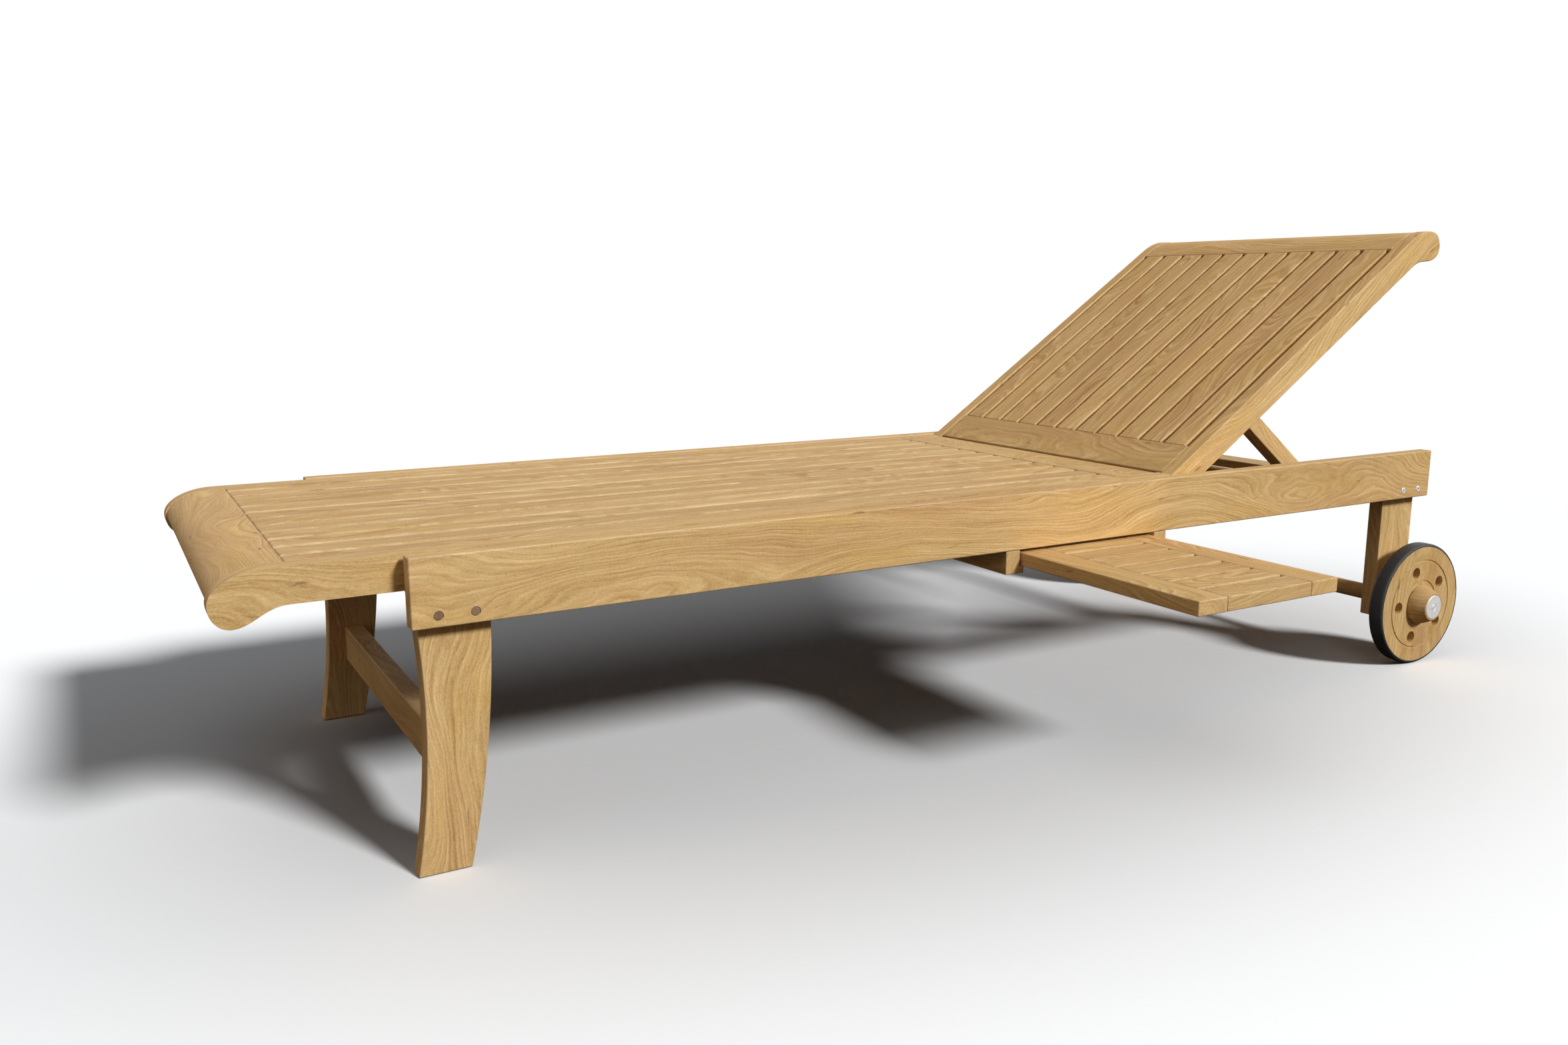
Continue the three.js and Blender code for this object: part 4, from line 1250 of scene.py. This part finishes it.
@dataclass
class Wheel(Assembly):
    """A turned wooden wheel with a thin tyre, a flared hub and a steel cap."""

    width: float
    radius: float = 0.09965
    tyre_thickness: float = 0.0043
    tyre_edge: float = 0.0011
    shoulder: float = 0.006
    groove_radius: float = 0.0726
    groove_width: float = 0.0026
    groove_depth: float = 0.0016
    hole_count: int = 5
    hole_radius: float = 0.0094
    hole_circle: float = 0.0558
    drill_spare: float = 0.01
    drill_turn: float = 2.12
    seat_radius: float = 0.04
    seat_depth: float = 0.0014
    hub_base: float = 0.0325
    hub_end: float = 0.0225
    hub_length: float = 0.0235
    hub_bore: float = 0.0063
    hub_rim: float = 0.0008
    flare_pull: float = 0.003
    flare_heights: Point = (0.5, 0.7)
    spigot_radius: float = 0.02
    boss_radius: float = 0.012
    boss_length: float = 0.0222
    cap_radius: float = 0.0194
    cap_seat: float = 0.003
    cap_profile: tuple[Point, ...] = (
        (0.0, -0.0027), (0.0194, -0.0027), (0.0194, 0.0), (0.0188, 0.0005), (0.0065, 0.0006),
        (0.006, 0.0001), (0.0048, 0.0001), (0.0043, 0.0006), (0.0, 0.0006),
    )
    cap_faces: int = 72
    disc_faces: int = 120
    drill_faces: int = 40
    tyre_faces: int = 144

    def build(self, side: Side) -> None:
        """Builds a wheel.

        Args:
            side: The wheel's side.
        """
        low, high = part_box(f"wheel_disc_{side}")
        centre, sign, body = (low + high) / 2, side.value, f"wheel_{side}"
        at = (centre.x, high.y if side is Side.LEFT else low.y, centre.z)
        outward = Matrix(((0, 1, 0), (0, 0, sign), (sign, 0, 0))).to_4x4()
        flat, along = placed(at) @ outward, placed(at, 90 * sign)
        wood = Wood(Cut.QUARTER, ease=0.0007, figure=0.7, toward=(1.0, 0.0))
        disc, tyre, hub, cap = (f"wheel_{part}_{side}" for part in ("disc", "tyre", "hub", "cap"))
        self.shop.wooden(disc + "_turned", body, self.disc(), flat, wood, disc)
        mesh = turned(self.tyre(), Axis.Z, self.tyre_faces)
        self.shop.add(tyre + "_moulded", body, mesh, flat, "tyre", self.shop.finishes.rubber, tyre)
        mesh, wood = turned(self.hub()), Wood(ease=0.0, tone=0.86)
        self.shop.wooden(hub + "_turned", body, mesh, along, wood, hub)
        self.shop.steel(cap + "_pressed", body, self.cap(), along, self.cap_faces, cap)

    def disc(self) -> Mesh:
        """Turns the disc and bores its round holes.

        Returns:
            The mesh, about its z axis, from its inner face at z = 0.
        """
        rim = self.radius - self.tyre_thickness - FIT
        hole, face, floor = self.spigot_radius + FIT, self.width, self.width - self.seat_depth
        radii = (self.groove_width / 2, self.groove_depth)
        groove = arc((self.groove_radius, face), radii, 0, -180, 8)
        profile = [(hole, 0.0), (rim, 0.0), (rim, face), *groove, (self.seat_radius, face),
                   (self.seat_radius, floor), (hole, floor)]
        blank = bpy.data.objects.new("blank", turned(profile, Axis.Z, self.disc_faces))
        bpy.context.scene.collection.objects.link(blank)
        drills = []
        for k in range(self.hole_count):
            angle = 2 * math.pi * (k + 0.5) / self.hole_count + math.pi / 2
            x, y = self.hole_circle * math.cos(angle), self.hole_circle * math.sin(angle)
            drill = rod(self.hole_radius, -self.drill_spare, face + self.drill_spare)
            drill = turned(drill, Axis.Z, self.drill_faces)
            # the turn keeps the drill's corners off the edges of the disc's faces
            drills.append((drill, placed((x, y, 0), self.drill_turn)))
        bore(blank, drills)
        mesh = blank.data
        bpy.data.objects.remove(blank)
        mesh.materials.clear()
        mesh.set_sharp_from_angle(angle=SHARP)
        return mesh

    def tyre(self) -> list[Point]:
        """Profile of the tyre, thin at its faces and full in the middle."""
        bore = self.radius - self.tyre_thickness
        edge = bore + self.tyre_edge
        radii = (self.radius - edge, self.shoulder)
        inner = arc((edge, self.shoulder), radii, -90, 0, 10)
        outer = arc((edge, self.width - self.shoulder), radii, 0, 90, 10)
        return [(bore, 0.0), *inner, *outer, (bore, self.width)]

    def hub(self) -> list[Point]:
        """Profile of the hub: boss, spigot, flare and the seat of the cap."""
        face, end = self.width, self.width + self.hub_length
        base, rim, pull = self.hub_base, self.hub_rim, self.flare_pull
        floor, cap, seat = face - self.seat_depth + FIT, self.cap_radius + FIT, end - self.cap_seat
        low, high = (face + self.hub_length * share for share in self.flare_heights)
        flare = [(base, face), (base - pull, low), (self.hub_end + pull, high)]
        flare = curve([*flare, (self.hub_end, end - rim)], 24)
        return [(self.hub_bore, -self.boss_length), (self.boss_radius, -self.boss_length),
                (self.boss_radius, 0.0), (self.spigot_radius, 0.0), (self.spigot_radius, floor),
                (base - rim, floor), (base, floor + rim), (base, face), *flare,
                (self.hub_end - rim, end), (cap, end), (cap, seat), (self.hub_bore, seat)]

    def cap(self) -> list[Point]:
        """Profile of the cap on the hub's end: a rounded rim and a ring about its middle."""
        end = self.width + self.hub_length
        return [(radius, end + rise) for radius, rise in self.cap_profile]


@dataclass
class Axle(Assembly):
    """The steel rod, the wooden sleeve on it and the pins of the back and the prop."""

    pins: tuple[str, str] = ("back_pivot_pin", "prop_pivot_pin")

    def build(self) -> None:
        """Builds the rod and the sleeve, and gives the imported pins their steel."""
        self.shop.dowel("axle_rod", "base", metal=True)
        self.shop.dowel("axle_sleeve", "base")
        for pin in self.pins:
            for side in Side:
                packed = frame["nodes"][f"{pin}_{side}"]
                packed.data.materials.clear()
                packed.data.materials.append(self.shop.finishes.steel)
                self.shop.pieces.objects.link(packed)


# ---- studio


@dataclass(frozen=True)
class Lamp:
    """A distant soft lamp."""

    name: str
    toward: Triple
    strength: float
    spread: float
    colour: Triple = (1.0, 1.0, 1.0)
    on_floor: bool = True

    def build(self, lit: bpy.types.Collection) -> None:
        """Adds the lamp.

        Args:
            lit: The pieces that a lamp kept off the floor lights.
        """
        data = bpy.data.lights.new(self.name, "SUN")
        data.energy = self.strength
        data.color = self.colour
        data.angle = math.radians(self.spread)
        lamp = bpy.data.objects.new(self.name, data)
        lamp.rotation_euler = Vector(self.toward).to_track_quat("Z", "Y").to_euler()
        bpy.context.scene.collection.objects.link(lamp)
        if not self.on_floor:
            lamp.light_linking.receiver_collection = lit


@dataclass
class Studio:
    """Floor, light and camera."""

    eye: Triple = (-1.03317, -1.41092, 0.60955)
    yaw: float = 0.51798
    pitch: float = 0.18698
    roll: float = -0.00143
    lens: float = 28.504
    sensor: float = 36.0
    nearest: float = 0.01
    sky: Colour = (0.023, 0.026, 0.0295, 1.0)
    bounce: Colour = (0.07, 0.05, 0.033, 1.0)
    floor_tint: Triple = (0.991, 1.0, 1.006)
    floor_depth: float = 0.0004
    floor_radius: float = 60.0
    # painted shade: the floor's colour is darker in an ellipse about the lounger and paler beyond
    # it
    pool_shift: Triple = (0.0, -0.12, 0.0)
    pool_shape: Triple = (0.8, 1.333, 0.0)
    pool_limits: Point = (0.45, 1.35)
    pool_tones: Point = (0.93, 1.66)
    white_limits: Point = (1.3, 2.7)
    lamps: tuple[Lamp, ...] = (
        Lamp("key", (0.57, -1.41, 1.0), 2.86, 11.0),
        Lamp("softbox", (-0.38, -0.22, 0.89), 0.27, 52.0),
        Lamp("overhead", (0.0, 0.0, 1.0), 0.52, 180.0, (1.0, 0.84, 0.68), on_floor=False),
        Lamp("side", (-1.0, -0.2, 0.3), 0.44, 90.0, (1.0, 0.75, 0.55), on_floor=False),
    )

    def build(self, lit: bpy.types.Collection) -> None:
        """Builds the studio.

        Args:
            lit: The lounger's pieces.
        """
        self.camera()
        for lamp in self.lamps:
            lamp.build(lit)
        self.world()
        self.floor()
        bpy.context.scene.view_settings.view_transform = "Standard"

    def camera(self) -> None:
        """Sets up the camera."""
        data = bpy.data.cameras.new("camera")
        data.sensor_fit = "HORIZONTAL"
        data.sensor_width = self.sensor
        data.lens = self.lens
        data.clip_start = self.nearest
        camera = bpy.data.objects.new("camera", data)
        camera.matrix_world = Matrix.Translation(self.eye)
        for angle, axis in ((-self.yaw, "Z"), (math.pi / 2 - self.pitch, "X"), (self.roll, "Z")):
            camera.matrix_world = camera.matrix_world @ Matrix.Rotation(angle, 4, axis)
        bpy.context.scene.collection.objects.link(camera)
        bpy.context.scene.camera = camera

    def world(self) -> None:
        """Adds an even sky that the camera, gloss and glass see as white."""
        board = NodeBoard(bpy.data.worlds.new("world"))
        bpy.context.scene.world = board.owner
        path = board.add("LightPath").outputs
        gloss = board.math("MAXIMUM", path["Is Glossy Ray"], path["Is Transmission Ray"])
        seen = board.math("MAXIMUM", path["Is Camera Ray"], gloss)
        colour = board.blend(seen, self.sky, WHITE)
        board.finish(board.add("Background", {"Color": colour, "Strength": 1.0}), "OutputWorld")

    def floor(self) -> None:
        """Adds the floor."""
        shape = bmesh.new()
        bmesh.ops.create_circle(shape, cap_ends=True, segments=96, radius=self.floor_radius)
        mesh = bpy.data.meshes.new("floor")
        shape.to_mesh(mesh)
        shape.free()
        mesh.materials.append(self.pale_floor())
        floor = bpy.data.objects.new("floor", mesh)
        floor.location.z = -self.floor_depth
        bpy.context.scene.collection.objects.link(floor)

    def pale_floor(self) -> Material:
        """Builds the floor's material, with painted shade about the lounger; it grows paler away
        from the lounger, to white.
        """
        board = NodeBoard(bpy.data.materials.new("pale_floor"))
        place = board.add("TexCoord").outputs["Object"]
        centred = board.vector("ADD", place, self.pool_shift)
        squeezed = board.vector("MULTIPLY", centred, self.pool_shape)
        away = board.add("VectorMath", {0: squeezed}, operation="LENGTH").outputs["Value"]
        # painted shade: darker near the lounger, paler away from it
        pale = board.spread(board.ramp(away, *self.pool_limits), *self.pool_tones)
        tinted = {i: board.times(pale, tint) for i, tint in enumerate(self.floor_tint)}
        tinted = board.add("CombineXYZ", tinted).outputs[0]
        seen = board.add("LightPath").outputs["Is Camera Ray"]
        diffuse = board.add("BsdfDiffuse", {"Color": board.blend(seen, self.bounce, tinted)})
        glow = board.add("Emission", {"Color": WHITE, "Strength": 1.0})
        white = board.times(board.ramp(away, *self.white_limits), seen)
        mixed = {0: white, 1: diffuse.outputs[0], 2: glow.outputs[0]}
        return board.finish(board.add("MixShader", mixed))


# ---- main


def joint(name: str) -> dict:
    """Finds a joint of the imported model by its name."""
    return next(j for j in frame["joints"] if j["name"] == name)


def main() -> None:
    """Builds the lounger's sub-assemblies in order, then the studio."""
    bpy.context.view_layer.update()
    shop = Workshop(Finishes(), bpy.data.collections.new("lounger"))
    recline = joint("backrest_recline")
    middle = (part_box("side_rail_left")[0].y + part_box("side_rail_right")[1].y) / 2
    pivot, swing = Vector(recline["pos_m"]), Vector(joint("prop_swing")["pos_m"])
    pivot.y = swing.y = middle

    SideFrame(shop).build()
    FootLegs(shop).build()
    HeadEnd(shop).build()
    Seat(shop).build(pivot)
    Backrest(shop).build(placed(pivot, recline["range_deg"][0], Axis.Y))
    Prop(shop).build(swing)
    Tray(shop).build()
    for side in Side:
        Wheel(shop, room(f"wheel_disc_{side}")[1].y).build(side)
    Axle(shop).build()
    Studio().build(shop.pieces)
    log.info("%d pieces", shop.count)


if __name__ == "__main__":
    main()
